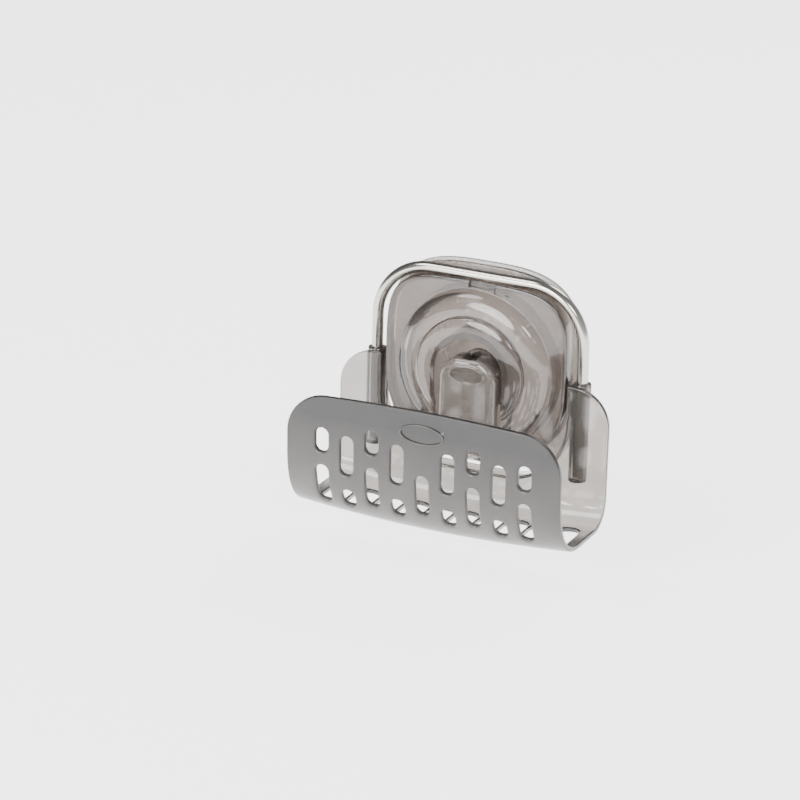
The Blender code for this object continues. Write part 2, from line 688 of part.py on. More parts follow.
def trough_shell(name, **options):
    """The trough's bent wall before its outlines and slots are cut."""
    loops = []
    for x in stations(-TRAY_HALF_WIDTH, TRAY_HALF_WIDTH, TRAY_STATIONS):
        outside = trough_outside(x)
        inside = offset_inwards(outside, TRAY_WALL)
        loops.append([(x, -depth, z) for depth, z in outside + inside[::-1]])
    size = len(loops[0])
    half = size // 2
    points = [point for loop in loops for point in loop]
    faces = loops_to_faces(len(loops), size)
    for start in (0, (len(loops) - 1) * size):
        for step in range(half - 1):
            faces.append((start + step, start + step + 1, start + size - 2 - step, start + size - 1 - step))
    return mesh_object(name, points, faces, **options)


def cutout_outline(growth, top):
    """The opening in the back wall round the suction base, in (x, z), grown on every side."""
    side = CUTOUT_HALF_WIDTH + growth
    low = CUTOUT_BOTTOM + growth
    radius = CUTOUT_CORNER_RADIUS + growth
    points = [(side, top), (-side, top)]
    points += arc((radius - side, radius - low), radius, 180, 270, ARC_STEPS)
    points += arc((side - radius, radius - low), radius, 270, 360, ARC_STEPS)
    return points


def ear_corner(name, side):
    """The cutter that rounds one ear's outer top corner; side is -1 or 1."""
    corner = TRAY_HALF_WIDTH - EAR_CORNER_RADIUS
    outer = TRAY_HALF_WIDTH + OVERRUN
    above = EAR_TOP + OVERRUN
    points = arc((corner, EAR_TOP - EAR_CORNER_RADIUS), EAR_CORNER_RADIUS, 0, 90, ARC_STEPS)
    points += [(corner, above), (outer, above), (outer, EAR_TOP - EAR_CORNER_RADIUS)]
    return prism_out(name, [(side * x, z) for x, z in points], TRAY_BACK - OVERRUN,
                     TRAY_BACK + TRAY_WALL + OVERRUN)


def front_edge_cutter():
    """The cutter that leaves the front wall's crowned top edge and round corners."""
    radius = FRONT_CORNER_RADIUS
    corner = TRAY_HALF_WIDTH - radius
    outer = TRAY_HALF_WIDTH + OVERRUN
    above = OVERRUN
    centre_z = -FRONT_TOP - FRONT_CROWN - radius
    points = arc((corner, centre_z), radius, 0, 90, ARC_STEPS)
    for x in stations(corner, -corner, ARC_STEPS)[1:-1]:
        share = x / corner
        points.append((x, -FRONT_TOP - FRONT_CROWN * share * share))
    points += arc((-corner, centre_z), radius, 90, 180, ARC_STEPS)
    points += [(-outer, centre_z), (-outer, above), (outer, above), (outer, centre_z)]
    return prism_out("front_edge", points, TRAY_FRONT - TROUGH_BEND_REACH, TRAY_FRONT + OVERRUN)


def stadium(centre, length, width, steps=ARC_STEPS):
    """A slot's outline with round ends, upright in (x, z)."""
    radius = width / 2
    straight = max(length / 2 - radius, 0.0)
    points = arc((centre[0], centre[1] + straight), radius, 0, 180, steps)
    return points + arc((centre[0], centre[1] - straight), radius, 180, 360, steps)


def slot_loops(centre, length):
    """Loops of one front slot's cutter: a rim that slopes in from the surface, then a straight hole."""
    rim = stadium(centre, length + 2 * SLOT_RIM, SLOT_WIDTH + 2 * SLOT_RIM)
    hole = stadium(centre, length, SLOT_WIDTH)
    through = -TRAY_WALL - 2 * OVERRUN
    loops = []
    for outline, offset in ((rim, OVERRUN), (rim, 0.0), (hole, -SLOT_RIM_DEPTH), (hole, through)):
        loops.append([(x, -front_depth(x, -z) - offset, z) for x, z in outline])
    return loops


def front_slot_list():
    """Centre and length of every slot in the front wall, column by column."""
    slots = []
    for column in range(-SLOT_HALF_COLUMNS, SLOT_HALF_COLUMNS + 1):
        x = column * SLOT_PITCH
        square = column * column
        if column % 2:
            slots.append(((x, -LONG_SLOT_CENTRE - LONG_SLOT_ARCH * square), LONG_SLOT_LENGTH))
            slots.append(((x, -HOLE_CENTRE - HOLE_ARCH * square), HOLE_LENGTH))
        else:
            slots.append(((x, -LOW_SLOT_CENTRE - LOW_SLOT_ARCH * square), LOW_SLOT_LENGTH))
            if column:
                slots.append(((x, -SHORT_SLOT_CENTRE - SHORT_SLOT_ARCH * square), SHORT_SLOT_LENGTH))
    return slots


def many_loops_object(name, groups):
    """One cutter object that holds several separate skinned solids."""
    points = []
    faces = []
    for loops in groups:
        start = len(points)
        size = len(loops[0])
        points += [point for loop in loops for point in loop]
        faces += [tuple(start + corner for corner in face) for face in loops_to_faces(len(loops), size)]
        faces.append(tuple(start + step for step in range(size)))
        faces.append(tuple(start + (len(loops) - 1) * size + step for step in range(size)))
    return mesh_object(name, points, faces)


def floor_slot_loops(x):
    """Loops of one floor slot's cutter."""
    outline = stadium((x, FLOOR_SLOT_CENTRE), FLOOR_SLOT_LENGTH, FLOOR_SLOT_WIDTH)
    low = -TROUGH_FLOOR - OVERRUN
    high = -TROUGH_FLOOR + TROUGH_BACK_RADIUS
    return [[(a, -depth, z) for a, depth in outline] for z in (low, high)]


def sleeve_loops(side, radius, low, high):
    """Loops of an upright cylinder round one of the hanger's legs."""
    ring = circle((side * HANGER_HALF_SPAN, HANGER_DEPTH), radius)
    return [[(x, -depth, z) for x, depth in ring] for z in (low, high)]


def make_tray(material, origin):
    """The slotted trough with its two ears, the sleeves for the wire and the collar round the base."""
    tray = trough_shell("tray", material=material, origin=origin)
    high = EAR_TOP + SLEEVE_RISE
    join(tray, many_loops_object("sleeves", [sleeve_loops(side, SLEEVE_RADIUS, -SLEEVE_DROP, high)
                                             for side in (-1, 1)]))
    collar = cutout_outline(COLLAR_WALL, EAR_TOP - COLLAR_DROP)
    join(tray, prism_out("collar", collar, PLATE_FRONT + GAP, TRAY_BACK + TRAY_WALL / 2))
    cut(tray, prism_out("cutout", cutout_outline(0, high + OVERRUN), PLATE_FRONT - OVERRUN,
                        TRAY_BACK + TRAY_WALL + OVERRUN),
        ear_corner("left_ear_corner", -1), ear_corner("right_ear_corner", 1), front_edge_cutter())
    bore_low = -HANGER_LEG_DROP - GAP
    cut(tray, many_loops_object("bores", [sleeve_loops(side, BORE_RADIUS, bore_low, high + OVERRUN)
                                          for side in (-1, 1)]))
    cut(tray, many_loops_object("front_slots", [slot_loops(*slot) for slot in front_slot_list()]))
    places = [(column + 0.5) * SLOT_PITCH for column in range(-SLOT_HALF_COLUMNS - 1, SLOT_HALF_COLUMNS + 1)]
    cut(tray, many_loops_object("floor_slots", [floor_slot_loops(x) for x in places]))
    oval = [(x * FRONT_OVAL_HALF_WIDTH, z * FRONT_OVAL_HALF_HEIGHT - FRONT_OVAL_CENTRE)
            for x, z in circle((0, 0), 1.0)]
    oval_floor = front_depth(0, FRONT_OVAL_CENTRE) - OVAL_DEPTH
    cut(tray, prism_out("front_oval", oval, oval_floor, TRAY_FRONT + OVERRUN))
    return tray


def joint_empty(name, place, children):
    """An empty on a joint's axis that carries the pieces which move there."""
    empty = bpy.data.objects.new(name, None)
    empty.location = place
    bpy.context.scene.collection.objects.link(empty)
    for child in children:
        child.location = child.location - empty.location
        child.parent = empty
    return empty


def main():
    """Make every piece and put the moving ones under their joints."""
    clear_scene()
    clear_soft = plastic("clear_soft_plastic", (0.78, 0.76, 0.74), 0.15, alpha=0.35)
    smoke = plastic("smoke_clear_plastic", (0.42, 0.38, 0.36), 0.08, alpha=0.5)
    frosted = plastic("frosted_smoke_plastic", (0.30, 0.30, 0.29), 0.45, alpha=0.8)
    acetal = plastic("dark_acetal", (0.10, 0.09, 0.085), 0.35)
    steel = plastic("polished_stainless_steel", (0.72, 0.70, 0.66), 0.15, metallic=1.0)

    make_suction_pad(clear_soft)
    make_back_plate(smoke)
    make_front_cover(smoke)
    make_cam_washer(acetal)
    post = make_pad_post(acetal)
    lever = make_lever(smoke)
    pin = make_lever_pin(steel)
    seat = Vector((0, -HANGER_DEPTH, HANGER_TOP))
    hanger = make_wire_hanger(steel, seat)
    tray = make_tray(frosted, seat)

    pin_centre = Vector((0, -PIN_DEPTH, 0))
    joint_empty("post_slide", pin_centre, [post])
    joint_empty("lever_hinge", pin_centre, [lever, pin])
    joint_empty("tray_lift", seat, [hanger, tray])


main()
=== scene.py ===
import json
import math

import bmesh
import bpy
import numpy as np
from mathutils import Matrix, Vector
from mathutils.geometry import delaunay_2d_cdt


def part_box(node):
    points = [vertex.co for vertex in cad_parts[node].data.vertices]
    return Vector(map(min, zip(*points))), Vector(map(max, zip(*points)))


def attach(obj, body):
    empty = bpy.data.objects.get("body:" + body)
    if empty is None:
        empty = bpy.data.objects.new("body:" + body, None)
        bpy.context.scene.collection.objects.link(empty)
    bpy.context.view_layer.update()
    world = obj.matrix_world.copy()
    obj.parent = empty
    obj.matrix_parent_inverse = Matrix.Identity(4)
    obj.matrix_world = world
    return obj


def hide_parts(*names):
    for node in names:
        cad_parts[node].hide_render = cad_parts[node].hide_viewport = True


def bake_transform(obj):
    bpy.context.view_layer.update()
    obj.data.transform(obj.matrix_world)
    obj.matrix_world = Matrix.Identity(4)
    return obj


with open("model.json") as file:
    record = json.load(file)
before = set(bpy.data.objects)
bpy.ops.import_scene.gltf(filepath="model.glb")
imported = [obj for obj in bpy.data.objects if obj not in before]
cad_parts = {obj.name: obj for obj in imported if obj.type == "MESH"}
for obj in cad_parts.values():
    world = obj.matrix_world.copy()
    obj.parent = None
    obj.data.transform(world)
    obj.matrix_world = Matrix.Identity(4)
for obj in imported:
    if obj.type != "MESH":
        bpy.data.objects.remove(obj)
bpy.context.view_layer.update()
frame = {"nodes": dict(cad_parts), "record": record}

MM = 0.001
CREASE = math.radians(35)

# A Mix node's colour sockets go by number, because its other sockets share their names
MIX_FIRST = 6
MIX_SECOND = 7
MIX_RESULT = 2


def linear(colour):
    """An sRGB hex colour as linear RGBA."""
    channels = [int(colour[start:start + 2], 16) / 255 for start in (1, 3, 5)]
    straight = [c / 12.92 if c <= 0.04045 else ((c + 0.055) / 1.055) ** 2.4 for c in channels]
    return (*straight, 1.0)


def feed(owner, node, links):
    """Link other nodes' outputs to a node's inputs, in a material or the world."""
    for socket, source in links.items():
        owner.node_tree.links.new(source, node.inputs[socket])


def add_node(owner, kind, settings=None, links=None):
    """One node with its settings, and its inputs linked from other nodes' outputs."""
    node = owner.node_tree.nodes.new(kind)
    for name, value in (settings or {}).items():
        if isinstance(name, int) or name in node.inputs:
            node.inputs[name].default_value = value
        else:
            setattr(node, name, value)
    feed(owner, node, links or {})
    return node


def moulded(name, settings):
    """A material and its one Principled shader, with the shader's own settings."""
    material = bpy.data.materials.new(name)
    material.use_nodes = True
    shader = material.node_tree.nodes["Principled BSDF"]
    for socket, value in settings.items():
        shader.inputs[socket].default_value = value
    return material, shader


def tinted_through(material, colour, density):
    """Tint that grows with the thickness seen through, so edges and thick places go dark."""
    tint = add_node(material, "ShaderNodeVolumeAbsorption",
                    {"Color": linear(colour), "Density": density})
    output = material.node_tree.nodes["Material Output"]
    feed(material, output, {"Volume": tint.outputs["Volume"]})


def painted_shade_and_highlight(material, colour, corners, edges):
    """A colour with painted shade that darkens it in inner corners, and a painted highlight that
    pales it along edges.
    """
    shape = add_node(material, "ShaderNodeNewGeometry")
    value = add_node(material, "ShaderNodeMapRange",
                     {"From Min": 0.42, "From Max": 0.58, "To Min": corners, "To Max": edges},
                     {"Value": shape.outputs["Pointiness"]})
    shade = add_node(material, "ShaderNodeHueSaturation", {"Color": linear(colour)},
                     {"Value": value.outputs["Result"]})
    return shade.outputs["Color"]


def smoke_styrene(name="smoke_styrene_polished", colour="#ddd5d0", density=185.0, haze=0.07):
    """Smoke-tinted clear SAN from a polished tool: glassy, faintly wavy and scuffed."""
    material, shader = moulded(name, {"IOR": 1.57, "Transmission Weight": 0.96})
    tinted_through(material, "#917f74", density)
    place = add_node(material, "ShaderNodeTexCoord")
    scuffs = add_node(material, "ShaderNodeTexNoise",
                      {"Scale": 1 / (1.6 * MM), "Detail": 4.0, "Distortion": 1.5},
                      {"Vector": place.outputs["Object"]})
    gloss = add_node(material, "ShaderNodeMapRange",
                     {"From Min": 0.45, "From Max": 0.75, "To Min": haze, "To Max": haze + 0.1},
                     {"Value": scuffs.outputs["Fac"]})
    shape = add_node(material, "ShaderNodeNewGeometry")
    edge_wear_and_highlight = add_node(material, "ShaderNodeMapRange",
                      {"From Min": 0.53, "From Max": 0.62, "To Max": 0.16},
                      {"Value": shape.outputs["Pointiness"]})
    worn = add_node(material, "ShaderNodeMath", {"operation": "ADD"},
                    {0: gloss.outputs["Result"], 1: edge_wear_and_highlight.outputs["Result"]})
    flow = add_node(material, "ShaderNodeTexNoise", {"Scale": 1 / (14 * MM), "Detail": 1.0},
                    {"Vector": place.outputs["Object"]})
    waves = add_node(material, "ShaderNodeBump", {"Strength": 0.05, "Distance": 0.3 * MM},
                     {"Height": flow.outputs["Fac"]})
    # The base colour carries painted shade, darker in inner corners, and a painted highlight, paler
    # along edges.
    feed(material, shader, {"Base Color": painted_shade_and_highlight(material, colour, 0.7, 1.15),
                            "Roughness": worn.outputs["Value"],
                            "Normal": waves.outputs["Normal"]})
    return material


def lever_styrene():
    """The lever's smoke SAN: thicker and handled, so browner, hazier and scuffed."""
    material, shader = moulded("smoke_styrene_lever", {"IOR": 1.57, "Transmission Weight": 0.68})
    tinted_through(material, "#857468", 320.0)
    place = add_node(material, "ShaderNodeTexCoord")
    scuffs = add_node(material, "ShaderNodeTexNoise",
                      {"Scale": 1 / (2.2 * MM), "Detail": 5.0, "Distortion": 1.0},
                      {"Vector": place.outputs["Object"]})
    gloss = add_node(material, "ShaderNodeMapRange",
                     {"From Min": 0.35, "From Max": 0.75, "To Min": 0.07, "To Max": 0.22},
                     {"Value": scuffs.outputs["Fac"]})
    bump = add_node(material, "ShaderNodeBump", {"Strength": 0.08, "Distance": 0.05 * MM},
                    {"Height": scuffs.outputs["Fac"]})
    # The base colour carries painted shade, darker in crevices, and a painted highlight, paler
    # along edges.
    feed(material, shader, {"Base Color": painted_shade_and_highlight(material, "#b0a59d", 0.66, 1.3),
                            "Roughness": gloss.outputs["Result"],
                            "Normal": bump.outputs["Normal"]})
    return material


def frosted_styrene():
    """The same smoke SAN, frosted by blasting on the trough's front: dull there and clearer behind,
    with painted light from below thinning the frost and its dark tint towards the bottom.
    """
    material, shader = moulded("smoke_styrene_frosted", {"IOR": 1.57})
    tinted_through(material, "#8b857f", 290.0)
    place = add_node(material, "ShaderNodeTexCoord")
    parts = add_node(material, "ShaderNodeSeparateXYZ", {}, {"Vector": place.outputs["Object"]})
    outer = add_node(material, "ShaderNodeMapRange",
                     {"interpolation_type": "SMOOTHSTEP", "From Min": -24 * MM,
                      "From Max": -42 * MM}, {"Value": parts.outputs["Y"]})
    # Painted light from below: the frost share falls to 0.7 at the bottom, so the front turns
    # clearer and lighter there.
    painted_light_from_below = add_node(material, "ShaderNodeMapRange",
                     {"From Min": -60 * MM, "From Max": -12 * MM, "To Min": 0.7},
                     {"Value": parts.outputs["Z"]})
    frost_and_painted_light = add_node(material, "ShaderNodeMapRange", {},
                       {"Value": outer.outputs["Result"], "To Max": painted_light_from_below.outputs["Result"]})
    dull = add_node(material, "ShaderNodeMapRange", {"To Min": 0.09, "To Max": 0.34},
                    {"Value": frost_and_painted_light.outputs["Result"]})
    see = add_node(material, "ShaderNodeMapRange", {"To Min": 0.92, "To Max": 0.46},
                   {"Value": frost_and_painted_light.outputs["Result"]})
    tint = add_node(material, "ShaderNodeMix", {"data_type": "RGBA", MIX_FIRST: linear("#beb8b3"),
                                                MIX_SECOND: linear("#302e2d")},
                    {"Factor": frost_and_painted_light.outputs["Result"]})
    # Painted highlight: edges and slot rims are mixed towards a paler colour.
    shape = add_node(material, "ShaderNodeNewGeometry")
    edge_wear_and_highlight = add_node(material, "ShaderNodeMapRange",
                      {"From Min": 0.535, "From Max": 0.64, "To Max": 0.6},
                      {"Value": shape.outputs["Pointiness"]})
    painted_rim_highlight = add_node(material, "ShaderNodeMix",
                    {"data_type": "RGBA", MIX_SECOND: linear("#a8a39e")},
                    {"Factor": edge_wear_and_highlight.outputs["Result"], MIX_FIRST: tint.outputs[MIX_RESULT]})
    clouds = add_node(material, "ShaderNodeTexNoise", {"Scale": 1 / (22 * MM), "Detail": 3.0},
                      {"Vector": place.outputs["Object"]})
    value = add_node(material, "ShaderNodeMapRange",
                     {"From Min": 0.3, "From Max": 0.7, "To Min": 0.85, "To Max": 1.15},
                     {"Value": clouds.outputs["Fac"]})
    shade = add_node(material, "ShaderNodeHueSaturation", {},
                     {"Color": painted_rim_highlight.outputs[MIX_RESULT], "Value": value.outputs["Result"]})
    grain = add_node(material, "ShaderNodeTexNoise", {"Scale": 1 / (0.5 * MM), "Detail": 2.0},
                     {"Vector": place.outputs["Object"]})
    bump = add_node(material, "ShaderNodeBump", {"Strength": 0.15, "Distance": 0.03 * MM},
                    {"Height": grain.outputs["Fac"]})
    feed(material, shader, {"Base Color": shade.outputs["Color"],
                            "Roughness": dull.outputs["Result"],
                            "Transmission Weight": see.outputs["Result"],
                            "Normal": bump.outputs["Normal"]})
    return material


def soft_pvc():
    """Clear plasticised PVC: soft and nearly colourless, with a patchy haze, shallow dents and
    painted shade that darkens its middle.
    """
    material, shader = moulded("clear_soft_pvc", {"IOR": 1.53, "Transmission Weight": 0.55})
    tinted_through(material, "#cfcbc6", 30.0)
    place = add_node(material, "ShaderNodeTexCoord")
    reach = add_node(material, "ShaderNodeVectorMath", {"operation": "LENGTH"},
                     {"Vector": place.outputs["Object"]})
    # Painted shade: the middle, seen through the cover's seat hole, is tinted dark so that the hole
    # reads as shaded.
    inner = add_node(material, "ShaderNodeMapRange", {"From Min": 8 * MM, "From Max": 13 * MM},
                     {"Value": reach.outputs["Value"]})
    tint = add_node(material, "ShaderNodeMix", {"data_type": "RGBA", MIX_FIRST: linear("#6b635e"),
                                                MIX_SECOND: linear("#cfcac6")},
                    {"Factor": inner.outputs["Result"]})
    haze = add_node(material, "ShaderNodeTexNoise", {"Scale": 1 / (4 * MM), "Detail": 3.0},
                    {"Vector": place.outputs["Object"]})
    gloss = add_node(material, "ShaderNodeMapRange",
                     {"From Min": 0.3, "From Max": 0.7, "To Min": 0.14, "To Max": 0.3},
                     {"Value": haze.outputs["Fac"]})
    dents = add_node(material, "ShaderNodeBump", {"Strength": 0.1, "Distance": 0.1 * MM},
                     {"Height": haze.outputs["Fac"]})
    feed(material, shader, {"Base Color": tint.outputs[MIX_RESULT],
                            "Roughness": gloss.outputs["Result"],
                            "Normal": dents.outputs["Normal"]})
    return material


def drawn_stainless():
    """Polished stainless wire: bright, with the drawing die's fine lines along it.

    The lines are drawn coarser than they are, so that they show.
    """
    material, shader = moulded("stainless_wire_polished",
                               {"Base Color": linear("#bdb9b2"), "Metallic": 1.0})
    place = add_node(material, "ShaderNodeAttribute", {"attribute_name": "round_and_along"})
    lines = add_node(material, "ShaderNodeTexNoise", {"Scale": 1 / (0.35 * MM), "Detail": 3.0},
                     {"Vector": place.outputs["Vector"]})
    gloss = add_node(material, "ShaderNodeMapRange",
                     {"From Min": 0.3, "From Max": 0.7, "To Min": 0.12, "To Max": 0.26},
                     {"Value": lines.outputs["Fac"]})
    bump = add_node(material, "ShaderNodeBump", {"Strength": 0.12, "Distance": 0.03 * MM},
                    {"Height": lines.outputs["Fac"]})
    feed(material, shader, {"Roughness": gloss.outputs["Result"],
                            "Normal": bump.outputs["Normal"]})
    return material


def dark_acetal(name="dark_acetal_moulded", colour="#4a4542"):
    """Acetal, moulded: brown-grey and waxy, with a faint mottle."""
    material, shader = moulded(name, {"Roughness": 0.35, "IOR": 1.48})
    place = add_node(material, "ShaderNodeTexCoord")
    mottle = add_node(material, "ShaderNodeTexNoise", {"Scale": 1 / (3 * MM), "Detail": 3.0},
                      {"Vector": place.outputs["Object"]})
    value = add_node(material, "ShaderNodeMapRange", {"To Min": 0.85, "To Max": 1.15},
                     {"Value": mottle.outputs["Fac"]})
    shade = add_node(material, "ShaderNodeHueSaturation", {"Color": linear(colour)},
                     {"Value": value.outputs["Result"]})
    feed(material, shader, {"Base Color": shade.outputs["Color"]})
    return material


FINISHES = {
    "smoke_clear_plastic": smoke_styrene(),
    "plate_plastic": smoke_styrene("smoke_styrene_pale", "#ebe6e2", 90.0, 0.12),
    "lever_plastic": lever_styrene(),
    "frosted_smoke_plastic": frosted_styrene(),
    "clear_soft_plastic": soft_pvc(),
    "polished_stainless_steel": drawn_stainless(),
    "dark_acetal": dark_acetal(),
}
# The washer's acetal is a paler copy, painted light against the shade it sits in.
WASHER_FINISH = dark_acetal("acetal_washer_paled_for_pit_shade", "#9a8d85")


def dress_nodes():
    """Each CAD node takes the finish of its material slot, and the washer a paler, browner copy of
    the acetal, lightened against the shade in the lever's pit.
    """
    for entry in frame["record"]["subparts"]:
        node = frame["nodes"][entry["node"]]
        for place in node.material_slots:
            place.material = FINISHES[entry["material_slot"]]
    for place in frame["nodes"]["cam_washer"].material_slots:
        place.material = WASHER_FINISH


# Sizes of the trough and the wire in metres. A depth is a distance out from the sink wall, so
# y = -depth. A power gives a curve its squareness.
WALL = 2.2 * MM
ROUND = 0.55 * MM
LEFT_LOW, RIGHT_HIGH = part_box("tray")
HALF_WIDTH = RIGHT_HIGH.x
TRAY_FRONT = -LEFT_LOW.y
TROUGH_FLOOR = -LEFT_LOW.z
FLOOR_END_RISE = 2.6 * MM
EAR_TOP = 0.3 * MM
EAR_CORNER = 16 * MM
WIRE_RADIUS = 2.4 * MM
WIRE_LOW, WIRE_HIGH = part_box("wire_hanger")
WIRE_DEPTH = -(WIRE_LOW.y + WIRE_HIGH.y) / 2
WIRE_HALF_SPAN = WIRE_HIGH.x - WIRE_RADIUS
SLEEVE_RADIUS = 3.9 * MM
SLEEVE_LAP = 0.6 * MM
SLEEVE_LOW = -42.0 * MM
BORE_RADIUS = 2.55 * MM
BORE_LOW = -40.0 * MM
TRAY_BACK = WIRE_DEPTH + SLEEVE_RADIUS - SLEEVE_LAP
BACK_TURN = 12 * MM
BEND_TOP = 27 * MM
BEND_REACH = 24.9 * MM
BEND_POWER = 2.6
BEND_POWER_LOSS = 0.2
LEAN = 0.8 * MM
FRONT_TOP = 2.5 * MM
FRONT_CROWN = 1.1 * MM
FRONT_CORNER = 18 * MM
CUTOUT_HALF = 42.5 * MM
CUTOUT_LOW = 44.6 * MM
CUTOUT_TURN = 28 * MM
COLLAR_WALL = 1.4 * MM
COLLAR_BACK = 5.1 * MM
COLLAR_DROP = 0.8 * MM
PITCH = 11.38 * MM
SLOT_WIDTH = 5.9 * MM
SLOT_LIP = 1.05 * MM
SLOT_LIP_DEPTH = 1.2 * MM
SLOT_BACK_ROUND = 0.35 * MM
FLOOR_SLOT_WIDTH = PITCH - 1.2 * MM
FLOOR_SLOT_LENGTH = 25 * MM
FLOOR_SLOT_DEPTH = 36 * MM
FRONT_OVAL = (9.6 * MM, 4.1 * MM)
FRONT_OVAL_Z = -12.4 * MM
OVAL_RIM = 0.42 * MM
OVAL_RIM_SHIFT = 0.35
OVAL_SUNK = 0.2 * MM
OVAL_POINTS = 72
SLEEVE_SIDES = 40

# The front wall's slots in mm: centre below z = 0, its further drop per column squared, length
LONG_SLOT = (27.7, 0.07, 17.3)
HOLE = (47.9, 0.06, 8.5)
LOW_SLOT = (39.9, 0.22, 18.2)
SHORT_SLOT = (19.2, 0.24, 10.4)
SLOT_COLUMNS = 4

# Points of the trough's line down the front, round the bend and round the back's turn, the row
# where the bend ends, and the row from which it counts as floor
FRONT_POINTS = 11
BEND_POINTS = 61
TURN_STEPS = 24
BEND_END = FRONT_POINTS + BEND_POINTS
FLOOR_START = 60

# Spacing of the points on the trough's faces, and how far they keep off edges and lines
GRID = 1.5 * MM
GRID_ROWS = 0.8 * GRID
KEPT_OFF = 0.6 * GRID
SAME_POINT = 1e-9
ARC_STEPS = 4


def arc(centre, radius, start, end, steps):
    """Points of an arc in a plane, angles in degrees."""
    turns = np.radians(np.linspace(start, end, steps + 1))
    return np.column_stack((centre[0] + radius * np.cos(turns), centre[1] + radius * np.sin(turns)))


def unit(ways):
    """Directions in a plane, each made one long."""
    return ways / np.linalg.norm(ways, axis=1)[:, None]


def run_along(path):
    """The length run from a path's start to each of its points."""
    return np.concatenate(([0.0], np.cumsum(np.linalg.norm(np.diff(path, axis=0), axis=1))))


def soft_corner(corner, before, after, soft):
    """Three points that ease a corner, given the ways back along one side and on along the next."""
    corner, before, after = np.array(corner), np.array(before), np.array(after)
    return [corner + soft * before, corner + soft * (before + after) / 3, corner + soft * after]


def mesh_piece(name, points, faces, finish, body=None):
    """An object with smooth faces and sharp creases, which rides on a body where one is named."""
    mesh = bpy.data.meshes.new(name)
    mesh.from_pydata([tuple(map(float, point)) for point in points], [],
                     [tuple(map(int, face)) for face in faces])
    work = bmesh.new()
    work.from_mesh(mesh)
    bmesh.ops.remove_doubles(work, verts=work.verts, dist=0.001 * MM)
    bmesh.ops.recalc_face_normals(work, faces=work.faces)
    work.to_mesh(mesh)
    work.free()
    mesh.shade_smooth()
    mesh.set_sharp_from_angle(angle=CREASE)
    mesh.materials.append(FINISHES[finish])
    piece = bpy.data.objects.new(name, mesh)
    bpy.context.scene.collection.objects.link(piece)
    if body:
        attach(piece, body)
    return piece


def apply_cuts(piece, joined=(), cutters=(), shared=()):
    """Fuse, cut or keep the shared part with exact Booleans, apply them, and remove the helpers."""
    for operation, others in (("UNION", joined), ("DIFFERENCE", cutters), ("INTERSECT", shared)):
        for other in others:
            modifier = piece.modifiers.new(other.name, "BOOLEAN")
            modifier.operation = operation
            modifier.solver = "EXACT"
            modifier.object = other
    bpy.context.view_layer.update()
    graph = bpy.context.evaluated_depsgraph_get()
    finished = bpy.data.meshes.new_from_object(piece.evaluated_get(graph))
    piece.modifiers.clear()
    piece.data = finished
    finished.shade_smooth()
    finished.set_sharp_from_angle(angle=CREASE)
    for other in (*joined, *cutters, *shared):
        bpy.data.objects.remove(other, do_unlink=True)


def quads_between(first, second):
    """Quads that join two closed loops of vertex numbers."""
    following = np.roll(np.arange(len(first)), -1)
    return [(first[k], first[n], second[n], second[k]) for k, n in enumerate(following)]


def walls_over(loops):
    """The points of a row of loops, each loop's vertex numbers, and the quads between the loops."""
    size = len(loops[0])
    points = [point for loop in loops for point in loop]
    rings = [np.arange(size) + size * k for k in range(len(loops))]
    faces = [face for low, high in zip(rings, rings[1:]) for face in quads_between(low, high)]
    return points, rings, faces


def skinned(name, loops, finish, body=None, closed_round=False, peaks=(None, None)):
    """A solid over closed loops of points, joined end to end, or capped flat or over a peak."""
    points, rings, faces = walls_over(loops)
    if closed_round:
        return mesh_piece(name, points, faces + quads_between(rings[-1], rings[0]), finish, body)
    for ring, peak in ((rings[0], peaks[0]), (rings[-1], peaks[1])):
        if peak is None:
            faces.append(tuple(ring))
        else:
            points.append(peak)
            faces += [(*pair, len(points) - 1) for pair in zip(ring, np.roll(ring, -1))]
    return mesh_piece(name, points, faces, finish, body)


def ring_of(radius, count):
    """Even points round a circle."""
    turns = np.linspace(0, 2 * math.pi, count, endpoint=False)
    return radius * np.column_stack((np.cos(turns), np.sin(turns)))


def trough_line(x):
    """The trough's outer (depth, z) line at x: down the front, round the bend and up the back."""
    share = (x / HALF_WIDTH) ** 2
    low = TROUGH_FLOOR - FLOOR_END_RISE * share
    power = BEND_POWER - BEND_POWER_LOSS * share
    drop = np.linspace(0, BEND_TOP, FRONT_POINTS + 1)[:-1]
    front = TRAY_FRONT - LEAN + LEAN * (BEND_TOP - drop) / (BEND_TOP - FRONT_TOP)
    turn = np.radians(np.linspace(0, 90, BEND_POINTS))
    bend_start = TRAY_FRONT - LEAN - BEND_REACH
    across = bend_start + BEND_REACH * np.cos(turn) ** (2 / power)
    down = BEND_TOP + (low - BEND_TOP) * np.sin(turn) ** (2 / power)
    back = arc((TRAY_BACK + BACK_TURN, BACK_TURN - low), BACK_TURN, 270, 180, TURN_STEPS)
    above = EAR_TOP + 2 * WALL
    return np.vstack((np.column_stack((front, -drop)), np.column_stack((across, -down)), back,
                      [(TRAY_BACK, above)]))


def measured(x):
    """The trough's line at x with the length run from its front top to each point."""
    line = trough_line(x)
    return line, run_along(line)


def front_run(x, z):
    """The length run to a height z on the front wall or its bend."""
    line, run = measured(x)
    return np.interp(-z, -line[:BEND_END, 1], run[:BEND_END])


def back_run(x, z):
    """The length run to a height z on the back wall."""
    line, run = measured(x)
    return np.interp(z, line[BEND_END:, 1], run[BEND_END:])


def floor_run(x, depth):
    """The length run to a depth on the floor."""
    line, run = measured(x)
    return np.interp(-depth, -line[FLOOR_START:, 0], run[FLOOR_START:])


